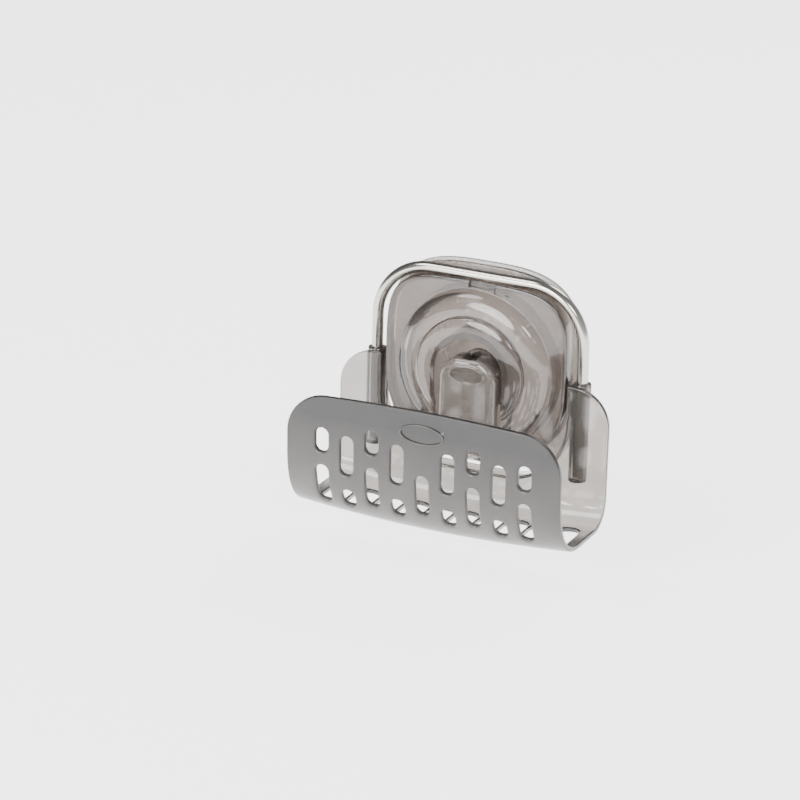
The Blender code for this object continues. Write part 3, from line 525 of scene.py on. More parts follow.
def on_trough(x, run, sunk):
    """A world point at x and a length run, sunk by a depth under the trough's outer face."""
    line, lengths = measured(x)
    near = 0.35 * MM
    place, ahead, behind = (np.array([np.interp(at, lengths, line[:, k]) for k in (0, 1)])
                            for at in (run, run + near, run - near))
    along = ahead - behind
    along /= np.linalg.norm(along)
    return (x, -(place[0] + sunk * along[1]), place[1] - sunk * along[0])


def moved_out(loop, distance):
    """A closed counter-clockwise loop moved outwards in its plane."""
    along = unit(np.roll(loop, -1, 0) - np.roll(loop, 1, 0))
    return loop + distance * np.column_stack((along[:, 1], -along[:, 0]))


def edge_levels(lip, lip_depth, back_round):
    """(inset, depth) pairs round a sheet's edge, from its outer face to its inner one."""
    turns = np.radians(np.linspace(0, 90, ARC_STEPS + 1))
    outer = [(lip * (1 - math.sin(turn)), lip_depth * (1 - math.cos(turn))) for turn in turns]
    inner = [(back_round * (1 - math.cos(turn)), WALL - back_round * (1 - math.sin(turn)))
             for turn in turns]
    return outer + inner


def inside(points, loops):
    """Whether each point is inside an odd number of closed loops."""
    odd = np.zeros(len(points), bool)
    for loop in loops:
        after = np.roll(loop, -1, 0)
        for (x0, y0), (x1, y1) in zip(loop, after):
            if y0 != y1:
                crosses = (y0 > points[:, 1]) != (y1 > points[:, 1])
                odd ^= crosses & (points[:, 0] < (x1 - x0) * (points[:, 1] - y0) / (y1 - y0) + x0)
    return odd


def filled(loops, clear):
    """Triangles between an outline and its holes, with their points kept off a further line."""
    low, high = loops[0].min(0), loops[0].max(0)
    columns = np.arange(low[0] + GRID, high[0], GRID)
    rows = np.arange(low[1] + GRID, high[1], GRID_ROWS)
    grid = np.array([(x + 0.5 * GRID * (k % 2), y) for k, y in enumerate(rows) for x in columns])
    edge = np.vstack(loops)
    avoided = np.vstack((edge, clear))
    near = np.array([np.min(np.hypot(avoided[:, 0] - x, avoided[:, 1] - y)) for x, y in grid])
    grid = grid[inside(grid, loops) & (near > KEPT_OFF)]
    links = []
    start = 0
    for loop in loops:
        links += [(start + k, start + (k + 1) % len(loop)) for k in range(len(loop))]
        start += len(loop)
    points = [Vector(point) for point in np.vstack((edge, grid))]
    places, _, faces, sources = delaunay_2d_cdt(points, links, [], 0, SAME_POINT)[:4]
    number = {old: new for new, olds in enumerate(sources) for old in olds}
    places = np.array([tuple(place) for place in places])
    middles = np.array([places[list(face)].mean(0) for face in faces])
    kept = [face for face, wanted in zip(faces, inside(middles, loops)) if wanted]
    return places, kept, [number[k] for k in range(len(edge))]


def sheet_solid(outline, holes, levels, hole_levels, clear):
    """Points and faces of the trough's wall: two filled faces joined round every edge."""
    groups = [(outline, -1, levels)] + [(hole, 1, part) for hole, part in zip(holes, hole_levels)]
    points = []
    faces = []
    rims = []
    for end in (0, -1):
        loops = [moved_out(loop, sign * part[end][0]) for loop, sign, part in groups]
        places, triangles, numbers = filled(loops, clear)
        start = len(points)
        points += [on_trough(x, run, levels[end][1]) for x, run in places]
        faces += [tuple(start + corner for corner in face) for face in triangles]
        rims.append([start + number for number in numbers])
    first = 0
    for loop, sign, part in groups:
        size = len(loop)
        before = rims[0][first:first + size]
        for inset, sunk in part[1:-1]:
            start = len(points)
            points += [on_trough(x, run, sunk) for x, run in moved_out(loop, sign * inset)]
            after = list(range(start, start + size))
            faces += quads_between(before, after)
            before = after
        faces += quads_between(before, rims[1][first:first + size])
        first += size
    return points, faces


def cutout_turn():
    """The round lower right corner of the back wall's opening, in (x, z)."""
    middle = (CUTOUT_HALF - CUTOUT_TURN, CUTOUT_TURN - CUTOUT_LOW)
    return arc(middle, CUTOUT_TURN, 0, -90, 30)


def tray_outline():
    """The trough's flat outline as (x, length run), counter-clockwise."""
    corner = HALF_WIDTH - FRONT_CORNER
    front = [(x, -FRONT_TOP - FRONT_CROWN * (x / corner) ** 2)
             for x in np.linspace(0, corner, 30)[:-1]]
    front += list(arc((corner, -FRONT_TOP - FRONT_CROWN - FRONT_CORNER), FRONT_CORNER, 90, 0, 22))
    half = [(x, front_run(x, z)) for x, z in front]
    ear = list(arc((HALF_WIDTH - EAR_CORNER, EAR_TOP - EAR_CORNER), EAR_CORNER, 0, 90, 18))
    ear += [(x, EAR_TOP) for x in np.linspace(HALF_WIDTH - EAR_CORNER, CUTOUT_HALF, 4)[1:]]
    ear += [(CUTOUT_HALF, z) for z in np.linspace(EAR_TOP, CUTOUT_TURN - CUTOUT_LOW, 13)[1:-1]]
    ear += list(cutout_turn())
    ear += [(x, -CUTOUT_LOW) for x in np.linspace(CUTOUT_HALF - CUTOUT_TURN, 0, 11)[1:]]
    back = [(x, back_run(x, z)) for x, z in ear]
    steps = int((back[0][1] - half[-1][1]) / GRID)
    side = [(HALF_WIDTH, run) for run in np.linspace(half[-1][1], back[0][1], steps)[1:-1]]
    half += side + back
    mirrored = [(-x, run) for x, run in half[-2:0:-1]]
    return np.array(half + mirrored)


def stadium(x, z, length, width):
    """A slot's outline with round ends, upright."""
    straight = length / 2 - width / 2
    sides = np.linspace(-straight, straight, max(int(2 * straight / GRID), 2) + 1)[1:-1]
    top = arc((x, z + straight), width / 2, 0, 180, 14)
    bottom = arc((x, z - straight), width / 2, 180, 360, 14)
    left = [(x - width / 2, z - offset) for offset in sides]
    right = [(x + width / 2, z + offset) for offset in sides]
    return np.vstack((top, left, bottom, right))


def front_slots():
    """(x, z, length) of every slot in the front wall, column by column."""
    slots = []
    for column in range(-SLOT_COLUMNS, SLOT_COLUMNS + 1):
        rows = (LONG_SLOT, HOLE) if column % 2 else (LOW_SLOT, SHORT_SLOT)
        for drop, more, length in rows if column else (LOW_SLOT,):
            slots.append((column * PITCH, (-drop - more * column ** 2) * MM, length * MM))
    return slots


def turned_left(loop):
    """A loop put in counter-clockwise order."""
    after = np.roll(loop, -1, 0)
    area = np.sum(loop[:, 0] * after[:, 1] - loop[:, 1] * after[:, 0])
    return loop if area > 0 else loop[::-1]


def collar_band():
    """The thin collar behind the back wall, round the opening for the suction base."""
    high, low = EAR_TOP - COLLAR_DROP, CUTOUT_TURN - CUTOUT_LOW
    half = [(CUTOUT_HALF, z) for z in np.linspace(high, low, 8)[:-1]] + list(cutout_turn())
    path = np.array(half + [(-x, z) for x, z in half[::-1]])
    along = unit(np.gradient(path, axis=0))
    outward = np.column_stack((-along[:, 1], along[:, 0]))
    soft = 0.4 * MM
    front = TRAY_BACK + WALL / 2
    section = soft_corner((0, COLLAR_BACK), (0, 1), (1, 0), soft)
    section += soft_corner((COLLAR_WALL, COLLAR_BACK), (-1, 0), (0, 1), soft)
    section += [(COLLAR_WALL, front), (0, front)]
    loops = [[(x + a * off, -depth, z + b * off) for off, depth in section]
             for (x, z), (a, b) in zip(path, outward)]
    return skinned("collar_band", loops, "frosted_smoke_plastic")


def sleeve(side):
    """The upright round sleeve in an ear that the wire's leg stands in."""
    soft = 0.5 * MM
    high = EAR_TOP + SLEEVE_LAP
    profile = soft_corner((SLEEVE_RADIUS, SLEEVE_LOW), (-1, 0), (0, 1), soft)
    profile += [(SLEEVE_RADIUS, z) for z in np.linspace(SLEEVE_LOW, high, 8)[1:-1]]
    profile += soft_corner((SLEEVE_RADIUS, high), (0, -1), (-1, 0), soft)
    profile += [(BORE_RADIUS + soft / 2, high), (BORE_RADIUS, high - soft / 2),
                (BORE_RADIUS, BORE_LOW)]
    x, y = side * WIRE_HALF_SPAN, -WIRE_DEPTH
    loops = [[(x + across, y + out, z) for across, out in ring_of(radius, SLEEVE_SIDES)]
             for radius, z in profile]
    return skinned("sleeve", loops, "frosted_smoke_plastic",
                   peaks=((x, y, SLEEVE_LOW), (x, y, BORE_LOW)))


def trough():
    """The slotted trough as one moulding with soft edges, slot lips, sleeves and collar."""
    holes = []
    levels = []
    for x, z, length in front_slots():
        loop = stadium(x, z, length, SLOT_WIDTH)
        holes.append(turned_left(np.array([(a, front_run(a, b)) for a, b in loop])))
        levels.append(edge_levels(SLOT_LIP, SLOT_LIP_DEPTH, SLOT_BACK_ROUND))
    for column in range(-SLOT_COLUMNS - 1, SLOT_COLUMNS + 1):
        middle = (column + 0.5) * PITCH
        loop = stadium(middle, FLOOR_SLOT_DEPTH, FLOOR_SLOT_LENGTH, FLOOR_SLOT_WIDTH)
        holes.append(turned_left(np.array([(a, floor_run(a, b)) for a, b in loop])))
        levels.append(edge_levels(ROUND, ROUND, ROUND))
    middle = front_run(0, FRONT_OVAL_Z)
    rim_line = (0, middle) + ring_of(1, OVAL_POINTS) * [half + OVAL_RIM for half in FRONT_OVAL]
    points, faces = sheet_solid(tray_outline(), holes, edge_levels(ROUND, ROUND, ROUND), levels,
                                rim_line)
    piece = mesh_piece("trough_moulding", points, faces, "frosted_smoke_plastic", "caddy")
    floor, rim = oval_mark("front_oval", lambda a, b, sunk: on_trough(a, middle + b, sunk),
                           FRONT_OVAL, "frosted_smoke_plastic")
    apply_cuts(piece, joined=[collar_band(), sleeve(-1), sleeve(1)])
    apply_cuts(piece, cutters=[floor])
    apply_cuts(piece, joined=[rim])
    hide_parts("tray")


# Sizes of the suction base and the wire's bend in metres, and angles in degrees
PAD_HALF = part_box("suction_pad")[1].x
PAD_THICKNESS = 2.5 * MM
PAD_CENTRE = 3.4 * MM
PAD_CAVITY = 33 * MM
PAD_CAVITY_DEPTH = 1.6 * MM
PAD_BOSS = 6.8 * MM
PAD_BOSS_FRONT = 6.3 * MM
PAD_BOSS_HOLE = 3.0 * MM
FOOT_POCKET = 5.8 * MM
FOOT_POCKET_BACK = 3.6 * MM
FOOT_POCKET_FRONT = 5.1 * MM
PLATE_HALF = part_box("back_plate")[1].x
PLATE_BACK = 2.8 * MM
PLATE_FRONT = 4.8 * MM
RING = 35.9 * MM
RING_WALL = 1.8 * MM
RING_TOP = 10.1 * MM
BASE_POWER = 3.2
COVER_HALF = 40.2 * MM
COVER_TOP = 37.4 * MM
COVER_BOTTOM = 37.6 * MM
COVER_TOP_POWER = 4.3
COVER_BOTTOM_POWER = 2.7
COVER_BACK = 5.1 * MM
COVER_FACE = 12.4 * MM
COVER_EDGE = 0.9 * MM
COVER_DRAFT = 0.3 * MM
COVER_WALL = 2.0 * MM
DOME = 34.4 * MM
DOME_RISE = 5.2 * MM
DOME_FILLET = 0.7 * MM
DOME_START = 12
HUB = 24.4 * MM
HUB_STEP = 0.6 * MM
HUB_RISE = 2.8 * MM
HUB_POWER = 2.5
HUB_END = 84
PIT_HALF = 15.5 * MM
PIT_LOW = 12.0 * MM
PIT_FLOOR = 5.2 * MM
WELL_BACK = 3.7 * MM
SEAT_HOLE = 7.4 * MM
WINDOW_NOTCH = (-3.8 * MM, 7.3 * MM, 35.5 * MM, 41 * MM)
WINDOW_NOTCH_BACK = 11.0 * MM
CATCH_NOTCH = (7.6 * MM, 15.2 * MM, 33.9 * MM, 36.9 * MM)
CATCH_NOTCH_BACK = 11.5 * MM
WIRE_TOP = WIRE_HIGH.z - WIRE_RADIUS
WIRE_END = WIRE_LOW.z
WIRE_CORNER = 24 * MM
WIRE_SIDES = 40
WIRE_TIP = 0.4 * MM
LINE_STRETCH = 60  # how much longer than wide the drawing lines are
LIFT_ANGLE = 20
GAP = 0.3 * MM
PAST = 2 * MM
SIDES = 160


def squared(half, top, bottom, top_power, bottom_power):
    """An (x, z) outline between a round and a square, with points at even angles."""
    across, up = ring_of(1, SIDES).T
    height = np.where(up >= 0, top, bottom)
    power = np.where(up >= 0, top_power, bottom_power)
    reach = (np.abs(across / half) ** power + np.abs(up / height) ** power) ** (-1 / power)
    return np.column_stack((reach * across, reach * up))


def cover_edge(growth):
    """The cover's outline, grown on every side."""
    return squared(COVER_HALF + growth, COVER_TOP + growth, COVER_BOTTOM + growth,
                   COVER_TOP_POWER, COVER_BOTTOM_POWER)


def base_edge(half):
    """The pad's and the plate's outline."""
    return squared(half, half, half, BASE_POWER, BASE_POWER)


def circle(radius):
    """A circle with the same count of points as the outlines."""
    return ring_of(radius, SIDES)


def lofted(name, stages, finish, body=None, closed_round=False, peak=None):
    """A solid over (x, z) outlines, each at its depth, closed as skinned does."""
    loops = [[(x, -depth, z) for x, z in outline] for outline, depth in stages]
    middle = None if peak is None else (0, -peak, 0)
    return skinned(name, loops, finish, body, closed_round, (None, middle))


def oval_mark(name, surface, halves, finish):
    """A plain oval on a surface: a cutter for its sunk floor and a thin raised rim round it."""
    turns = ring_of(1, OVAL_POINTS)
    line = turns * halves
    way = unit(turns * halves[::-1])
    floor = [[surface(a, b, sunk) for a, b in line] for sunk in (-OVAL_RIM * 4, OVAL_SUNK)]
    cutter = skinned(name + "_floor", floor, finish)
    section = [(OVAL_RIM * math.cos(turn), OVAL_RIM * (math.sin(turn) - OVAL_RIM_SHIFT))
               for turn in np.radians(np.arange(22.5, 360, 45))]
    loops = [[surface(a, b, sunk) for a, b in line + out * way] for out, sunk in section]
    return cutter, skinned(name + "_rim", loops, finish, closed_round=True)


def prism(name, outline, start, end, sideways=False):
    """A helper solid: an (x, z) outline drawn out in depth, or a (depth, z) one drawn along x."""
    loops = [[(t, -a, b) if sideways else (a, -t, b) for a, b in outline] for t in (start, end)]
    return skinned(name, loops, "smoke_clear_plastic")


def rounded(start, end, radius):
    """Growth and depth pairs of an edge rounded outwards from a side to a face."""
    turns = np.radians(np.linspace(0, 90, ARC_STEPS + 1))
    return [(start - radius * (1 - math.cos(turn)), end - radius * (1 - math.sin(turn)))
            for turn in turns]


def suction_sheet():
    """The pad: a soft square sheet with a full round edge, hollow behind, that grips the foot."""
    soft = 0.9 * MM
    stages = []
    for share in np.linspace(0, 1, 12)[1:]:
        stages.append((circle(share * PAD_CAVITY), PAD_CAVITY_DEPTH * (1 - share * share) ** 2))
    for turn in np.radians(np.linspace(-90, 0, 5)):
        stages.append((base_edge(PAD_HALF - soft * (1 - math.cos(turn))),
                       soft * (1 + math.sin(turn))))
    stages += [(base_edge(PAD_HALF + growth), depth)
               for growth, depth in rounded(0, PAD_THICKNESS, soft)]
    stages.append((base_edge(PAD_HALF - 2.4 * soft), PAD_THICKNESS))
    for share in np.linspace(1, PAD_BOSS / PAD_CAVITY, 24):
        rise = (PAD_CENTRE - PAD_THICKNESS) * (1 - share * share) ** 2
        stages.append((circle(share * PAD_CAVITY), PAD_THICKNESS + rise))
    stages += [(circle(radius), depth) for radius, depth in (
        (PAD_BOSS, PAD_BOSS_FRONT - GAP), (PAD_BOSS - GAP, PAD_BOSS_FRONT),
        (PAD_BOSS_HOLE, PAD_BOSS_FRONT), (PAD_BOSS_HOLE, FOOT_POCKET_FRONT),
        (FOOT_POCKET, FOOT_POCKET_FRONT), (FOOT_POCKET, FOOT_POCKET_BACK))]
    piece = lofted("pad_sheet", stages, "clear_soft_plastic")
    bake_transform(piece)
    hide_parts("suction_pad")


def plate_flange():
    """The back plate: a rounded flange with soft edges and its standing ring."""
    soft = 0.5 * MM
    bore = RING - RING_WALL
    stages = [(circle(bore), PLATE_BACK), (base_edge(PLATE_HALF - soft), PLATE_BACK),
              (base_edge(PLATE_HALF - soft / 3), PLATE_BACK + soft / 3)]
    stages += [(base_edge(PLATE_HALF + growth), depth)
               for growth, depth in rounded(0, PLATE_FRONT, soft)]
    profile = soft_corner((RING, PLATE_FRONT), (1, 0), (0, 1), soft)
    profile += soft_corner((RING, RING_TOP), (0, -1), (-1, 0), soft)
    profile += [(bore + soft, RING_TOP), (bore, RING_TOP - soft)]
    stages += [(circle(radius), depth) for radius, depth in profile]
    piece = lofted("plate_flange", stages, "plate_plastic", closed_round=True)
    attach(piece, "suction_base")
    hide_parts("back_plate")


def dome_rings(wall):
    """(ring, depth) stages of the cover's raised middle, from the face to the hub's top."""
    face = COVER_FACE - wall
    rim = DOME - wall
    stages = [(circle(rim + DOME_FILLET), face),
              (circle(rim + 0.4 * DOME_FILLET), face + 0.15 * DOME_FILLET),
              (circle(rim), face + DOME_FILLET)]
    for turn in np.radians(np.linspace(DOME_START, 90, 18)):
        stages.append((circle(HUB + (rim - HUB) * math.cos(turn)),
                       face + DOME_RISE * math.sin(turn)))
    base = face + DOME_RISE - HUB_STEP
    for turn in np.radians(np.linspace(0, HUB_END, 22)):
        across, up = math.cos(turn) ** (2 / HUB_POWER), math.sin(turn) ** (2 / HUB_POWER)
        stages.append((circle((HUB - HUB_STEP) * across), base + HUB_RISE * up))
    return stages, base + HUB_RISE


def pit_arch(grown):
    """The arch round the lever's head, with a wall added round it."""
    side = PIT_HALF + grown
    low = -PIT_LOW - grown
    return np.vstack(([(-side, low), (side, low)], arc((0, 0), side, 0, 180, 40)))


def box_outline(left, right, low, high):
    """Corners of a rectangle in a plane."""
    return np.array([(left, low), (right, low), (right, high), (left, high)])


def wire_path():
    """The wire's centre line in (x, z), from the left leg's end to the right one's."""
    bend_z = WIRE_TOP - WIRE_CORNER
    left = [(-WIRE_HALF_SPAN, z) for z in np.linspace(WIRE_END, bend_z, 12)[:-1]]
    corner = arc((WIRE_CORNER - WIRE_HALF_SPAN, bend_z), WIRE_CORNER, 180, 90, 28)
    half = np.vstack((left, corner))
    middle = [(x, WIRE_TOP) for x in np.linspace(corner[-1][0], -corner[-1][0], 8)[1:-1]]
    return np.vstack((half, middle, [(-x, z) for x, z in half[::-1]]))


def wire_tube(name, radius, sides, finish, body=None, tip=0.0):
    """A round tube along the wire's path, its ends narrowed by a small chamfer."""
    path = wire_path()
    along = unit(np.gradient(path, axis=0))
    rows = [(place, way, radius) for place, way in zip(path, along)]
    if tip:
        rows[0] = (path[0] + tip * along[0], along[0], radius)
        rows[-1] = (path[-1] - tip * along[-1], along[-1], radius)
        rows = [(path[0], along[0], radius - tip), *rows, (path[-1], along[-1], radius - tip)]
    loops = [[(x - b * aside, -WIRE_DEPTH - out, z + a * aside)
              for aside, out in ring_of(thick, sides)] for (x, z), (a, b), thick in rows]
    return skinned(name, loops, finish, body)


def hanger_wire():
    """The bent steel wire, with each point's place round and along it kept for its finish."""
    piece = wire_tube("hanger_wire", WIRE_RADIUS, WIRE_SIDES, "polished_stainless_steel", "caddy",
                      tip=WIRE_TIP)
    run = run_along(wire_path())
    run = np.concatenate((run[:1], run, run[-1:])) / LINE_STRETCH
    ring = ring_of(WIRE_RADIUS, WIRE_SIDES)
    marks = piece.data.attributes.new("round_and_along", "FLOAT_VECTOR", "POINT")
    for index, mark in enumerate(marks.data):
        mark.vector = (*ring[index % WIRE_SIDES], run[index // WIRE_SIDES])
    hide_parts("wire_hanger")


def wire_way_out():
    """The room over the wire's seat, through which it is lifted away."""
    radius = WIRE_RADIUS + GAP / 2
    slope = math.radians(LIFT_ANGLE)
    run = COVER_FACE + PAST
    away = (WIRE_DEPTH + run * math.cos(slope), WIRE_TOP + run * math.sin(slope))
    seat = (WIRE_DEPTH, WIRE_TOP)
    outline = np.vstack((arc(away, radius, LIFT_ANGLE - 90, LIFT_ANGLE + 90, 12),
                         arc(seat, radius, LIFT_ANGLE + 90, LIFT_ANGLE + 270, 16)))
    span = WIRE_HALF_SPAN - WIRE_CORNER
    return prism("wire_way_out", outline, -span, span, sideways=True)


def cover_moulding():
    """The front cover: a domed shell with a soft edge, the lever's pit and the wire's seat."""
    rims = [(cover_edge(COVER_EDGE + COVER_DRAFT), COVER_BACK)]
    rims += [(cover_edge(growth), depth)
             for growth, depth in rounded(COVER_EDGE, COVER_FACE, COVER_EDGE)]
    stages, peak = dome_rings(0)
    cover = lofted("cover_moulding", rims + stages, "smoke_clear_plastic", "suction_base",
                   peak=peak)
    hollow = cover_edge(COVER_EDGE - COVER_WALL)
    rims = [(hollow, COVER_BACK - PAST), (hollow, COVER_FACE - COVER_WALL)]
    stages, peak = dome_rings(COVER_WALL)
    cavity = lofted("cover_cavity", rims + stages, "smoke_clear_plastic", peak=peak)
    far = COVER_FACE + DOME_RISE + HUB_RISE + PAST
    foot = -COVER_BOTTOM - COVER_EDGE - PAST
    side = PIT_HALF + COVER_WALL - GAP
    apply_cuts(cavity, cutters=[
        prism("well_in_cavity", pit_arch(COVER_WALL), WELL_BACK - PAST, far),
        prism("channel_in_cavity", box_outline(-side, side, foot, 0),
              COVER_FACE - COVER_WALL - GAP, far + PAST)])
    apply_cuts(cover, cutters=[cavity])
    channel = PIT_HALF - GAP
    apply_cuts(cover, joined=[
        prism("well", pit_arch(COVER_WALL - GAP), WELL_BACK, COVER_BACK + PAST)])
    apply_cuts(cover, cutters=[
        prism("pit", pit_arch(0), PIT_FLOOR, far),
        prism("channel", box_outline(-channel, channel, foot, 0), COVER_FACE, far + PAST),
        prism("seat_hole", arc((0, 0), SEAT_HOLE, 0, 360, 48)[:-1], WELL_BACK - PAST,
              PIT_FLOOR + PAST),
        wire_tube("wire_seat", WIRE_RADIUS + GAP, 32, "smoke_clear_plastic"), wire_way_out(),
        prism("window_notch", box_outline(*WINDOW_NOTCH), WINDOW_NOTCH_BACK, far),
        prism("catch_notch", box_outline(*CATCH_NOTCH), CATCH_NOTCH_BACK, far + PAST)])
    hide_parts("front_cover")


# The lever's sizes in metres, and its cam's last angle in degrees
PIN_DEPTH = 15.0 * MM
PIN = 1.5 * MM
CAM = 8.4 * MM
CAM_TRAVEL = 1.5 * MM
CAM_END = -50
LEVER_HALF = 12.9 * MM
LEVER_FACE = 5.5 * MM
LEVER_SIDE = 3.3 * MM
LEVER_SHOULDER = 2.6 * MM
LEVER_BACK = 1.3 * MM
LEVER_LENGTH = 36.5 * MM
LEVER_WALL = 1.8 * MM
LEVER_HOLLOW_HALF = 8.2 * MM
HEAD_TOP = CAM - CAM_TRAVEL
HEAD_ARCH = 11 * MM
HEAD_POWER = 2.3
HEAD_ROUND = 2.6
TIP_LIFT = 1.2 * MM
TIP_LENGTH = 6.0 * MM
POST_HALF = 3.0 * MM
POST_EYE = 3.3 * MM
LEVER_OVAL = (7.8 * MM, 3.6 * MM)
FACE_STRIPS = 12


def lever_outline(inset, top, low):
    """The lever seen from the front: a long arm under a wide arch."""
    half = LEVER_HALF - inset
    arch = HEAD_ARCH - inset
    turns = np.radians(np.linspace(0, 180, 49))
    across = np.sign(np.cos(turns)) * np.abs(np.cos(turns)) ** (2 / HEAD_POWER)
    up = np.abs(np.sin(turns)) ** (2 / HEAD_POWER)
    arm = np.linspace(low, top - arch, 24)[:-1]
    right = [(half, z) for z in arm]
    left = [(-half, z) for z in arm[::-1]]
    return np.vstack((right, np.column_stack((half * across, top - arch + arch * up)), left))


def face_depth(z):
    """Depth of the lever's face: flat, rolled back over its head and lifted at its tip."""
    share = np.clip(z / HEAD_TOP, 0, 0.999)
    tip = np.clip((-z - LEVER_LENGTH + TIP_LENGTH) / TIP_LENGTH, 0, 1)
    rolled = LEVER_FACE * (1 - share ** HEAD_ROUND) ** (1 / HEAD_ROUND)
    return PIN_DEPTH + rolled + TIP_LIFT * tip ** 2


def lever_shell():
    """Points and faces of the arm and the head's front, with shoulders that follow the arch."""
    loops = []
    back = lever_outline(0, HEAD_TOP, -LEVER_LENGTH)
    edge = lever_outline(LEVER_SHOULDER, HEAD_TOP - LEVER_SHOULDER, -LEVER_LENGTH)
    sides = [min(PIN_DEPTH + LEVER_SIDE, face_depth(z)) for _, z in back]
    tops = [face_depth(z) for _, z in edge]
    for share in np.linspace(0, 1, 5):
        depth = PIN_DEPTH + (1 - share) * LEVER_BACK + share * LEVER_SIDE
        loops.append([(x, -min(depth, side), z) for (x, z), side in zip(back, sides)])
    for turn in np.radians(np.linspace(0, 90, 10)[1:]):
        inset = LEVER_SHOULDER * (1 - math.cos(turn))
        outline = lever_outline(inset, HEAD_TOP - inset, -LEVER_LENGTH)
        depths = [side + (top - side) * math.sin(turn) for side, top in zip(sides, tops)]
        loops.append([(x, -depth, z) for (x, z), depth in zip(outline, depths)])
    points, rings, faces = walls_over(loops)
    faces.append(tuple(rings[0]))
    rim = rings[-1]
    size = len(rim)
    rows = []
    for k in range(size // 2):
        (x, y, z), start = points[rim[k]], len(points)
        if k:
            points += [(x * share, y, z) for share in np.linspace(1, -1, FACE_STRIPS + 1)[1:-1]]
        rows.append([rim[k], *range(start, len(points)), rim[size - 1 - k]])
    faces.append((rim[0], *rows[1], rim[size - 1]))
    for low, high in zip(rows[1:], rows[2:]):
        faces += [(low[k], low[k + 1], high[k + 1], high[k]) for k in range(FACE_STRIPS)]
    faces += [(rows[-1][k], rows[-1][k + 1], rim[size // 2]) for k in range(FACE_STRIPS)]
    return points, faces


def lever_moulding():
    """The lever: a cam head under a wide arch, soft shoulders, a lifted tip and a hollow arm."""
    points, faces = lever_shell()
    lever = mesh_piece("lever_moulding", points, faces, "lever_plastic")
    cam = []
    for turn in np.linspace(90, CAM_END, 36):
        radius = CAM - CAM_TRAVEL * max(turn / 90, 0.0)
        angle = math.radians(turn)
        cam.append((PIN_DEPTH - radius * math.cos(angle), radius * math.sin(angle)))
    back = PIN_DEPTH + LEVER_BACK
    low = cam[-1][1] - (back - cam[-1][0])
    front = PIN_DEPTH + LEVER_SIDE / 2
    high = (HEAD_TOP ** 2 - (LEVER_SIDE / 2) ** 2) ** 0.5 - GAP
    cam += [(back, low), (front, low), (front, high)]
    side = LEVER_HALF - GAP / 2
    block = prism("cam_block", np.array(cam), -side, side, sideways=True)
    apply_cuts(block, shared=[prism("cam_arch", lever_outline(GAP / 2, HEAD_TOP, low - PAST),
                                    PIN_DEPTH - CAM - PAST, front + PAST)])

    face = PIN_DEPTH + LEVER_FACE
    near = PIN_DEPTH - CAM - PAST
    slot = POST_HALF + GAP
    arm = box_outline(near, face - LEVER_WALL, -LEVER_LENGTH + LEVER_WALL, low)
    hub = box_outline(near, PIN_DEPTH + POST_EYE + GAP, low - GAP / 2, CAM + PAST)
    floor, rim = oval_mark("lever_oval", lambda a, b, sunk: (a, sunk - face_depth(b), b),
                           LEVER_OVAL, "lever_plastic")
    apply_cuts(lever, joined=[block])
    apply_cuts(lever, cutters=[
        floor, prism("post_slot", hub, -slot, slot, sideways=True),
        prism("arm_hollow", arm, -LEVER_HOLLOW_HALF, LEVER_HOLLOW_HALF, sideways=True)])
    hole = arc((PIN_DEPTH, 0), PIN + GAP / 6, 0, 360, 32)[:-1]
    reach = LEVER_HALF + PAST
    apply_cuts(lever, cutters=[prism("pin_hole", hole, -reach, reach, sideways=True)])
    apply_cuts(lever, joined=[rim])
    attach(lever, "lever")
    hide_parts("lever")


def soft_light(name, place, size, power):
    """One round softbox aimed at the middle of the caddy."""
    light = bpy.data.lights.new(name, "AREA")
    light.shape = "DISK"
    light.size = size
    light.energy = power
    lamp = bpy.data.objects.new(name, light)
    lamp.location = place
    aim = Vector((0, -30 * MM, 0)) - Vector(place)
    lamp.rotation_euler = aim.to_track_quat("-Z", "Y").to_euler()
    bpy.context.scene.collection.objects.link(lamp)


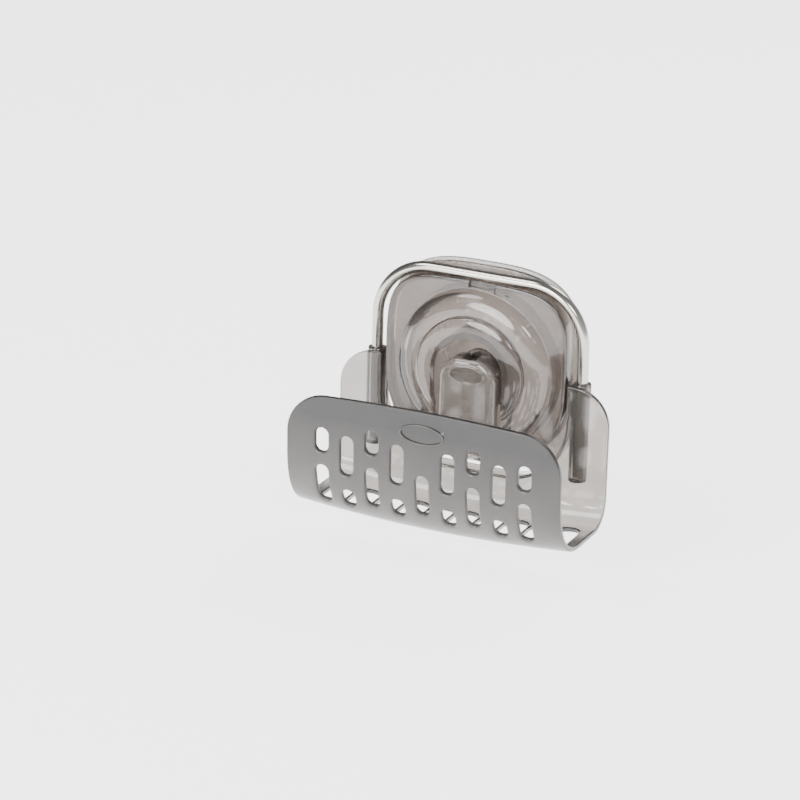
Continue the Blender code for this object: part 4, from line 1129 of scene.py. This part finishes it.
def studio():
    """A bright pale floor, a pale surround that is darker on the left, and soft lights."""
    side = 4.0
    level = -78 * MM
    mesh = bpy.data.meshes.new("studio_floor")
    mesh.from_pydata([(a * side, b * side, level) for a, b in ((-1, -1), (1, -1), (1, 1), (-1, 1))],
                     [], [(0, 1, 2, 3)])
    floor = bpy.data.objects.new("studio_floor", mesh)
    bpy.context.scene.collection.objects.link(floor)
    paper, _ = moulded("white_paper", {"Base Color": linear("#f4f4f4"), "Roughness": 0.8,
                                       "Emission Color": linear("#ffffff"),
                                       "Emission Strength": 2.8})
    mesh.materials.append(paper)

    world = bpy.data.worlds.new("pale_room")
    world.use_nodes = True
    place = add_node(world, "ShaderNodeTexCoord")
    parts = add_node(world, "ShaderNodeSeparateXYZ", {}, {"Vector": place.outputs["Generated"]})
    sky = add_node(world, "ShaderNodeValToRGB", {}, {"Fac": parts.outputs["Z"]})
    stops = sky.color_ramp.elements
    stops[0].color = linear("#f2f2f2")
    stops[1].position = 0.9
    stops[1].color = linear("#8f8f91")
    stops.new(0.3).color = linear("#c4c4c6")
    shade = add_node(world, "ShaderNodeMapRange",
                     {"From Min": -0.9, "From Max": 0.3, "To Min": 0.35, "To Max": 1.05},
                     {"Value": parts.outputs["X"]})
    feed(world, world.node_tree.nodes["Background"],
         {"Color": sky.outputs["Color"], "Strength": shade.outputs["Result"]})
    bpy.context.scene.world = world
    for name, spot, size, power in (("key_softbox", (-0.8, -0.9, 1.4), 0.8, 15.0),
                                    ("front_softbox", (-0.3, -1.55, 0.42), 0.8, 26.0),
                                    ("side_softbox", (0.95, -1.35, 0.85), 0.4, 8.0),
                                    ("rim_softbox", (0.3, 0.9, 1.1), 0.6, 9.0)):
        soft_light(name, spot, size, power)


def camera():
    """The photograph's view: from the front, to the right and above."""
    azimuth = math.radians(24.8)
    elevation = math.radians(20.3)
    roll = 0.027
    distance = 1524
    focal_px = 3577
    picture_px = 800
    target = Vector((-39.38, 0, -24.79)) * MM
    out = Vector((math.sin(azimuth) * math.cos(elevation),
                  -math.cos(azimuth) * math.cos(elevation), math.sin(elevation)))
    data = bpy.data.cameras.new("photo_camera")
    data.sensor_width = 36
    data.lens = focal_px / picture_px * data.sensor_width
    data.clip_start = 0.01
    data.clip_end = 30
    eye = bpy.data.objects.new("photo_camera", data)
    eye.location = target + out * distance * MM
    turn = (-out).to_track_quat("-Z", "Y").to_matrix()
    eye.rotation_euler = (turn @ Matrix.Rotation(roll, 3, "Z")).to_euler()
    bpy.context.scene.collection.objects.link(eye)
    bpy.context.scene.camera = eye


dress_nodes()
trough()
hanger_wire()
suction_sheet()
plate_flange()
cover_moulding()
lever_moulding()
studio()
camera()
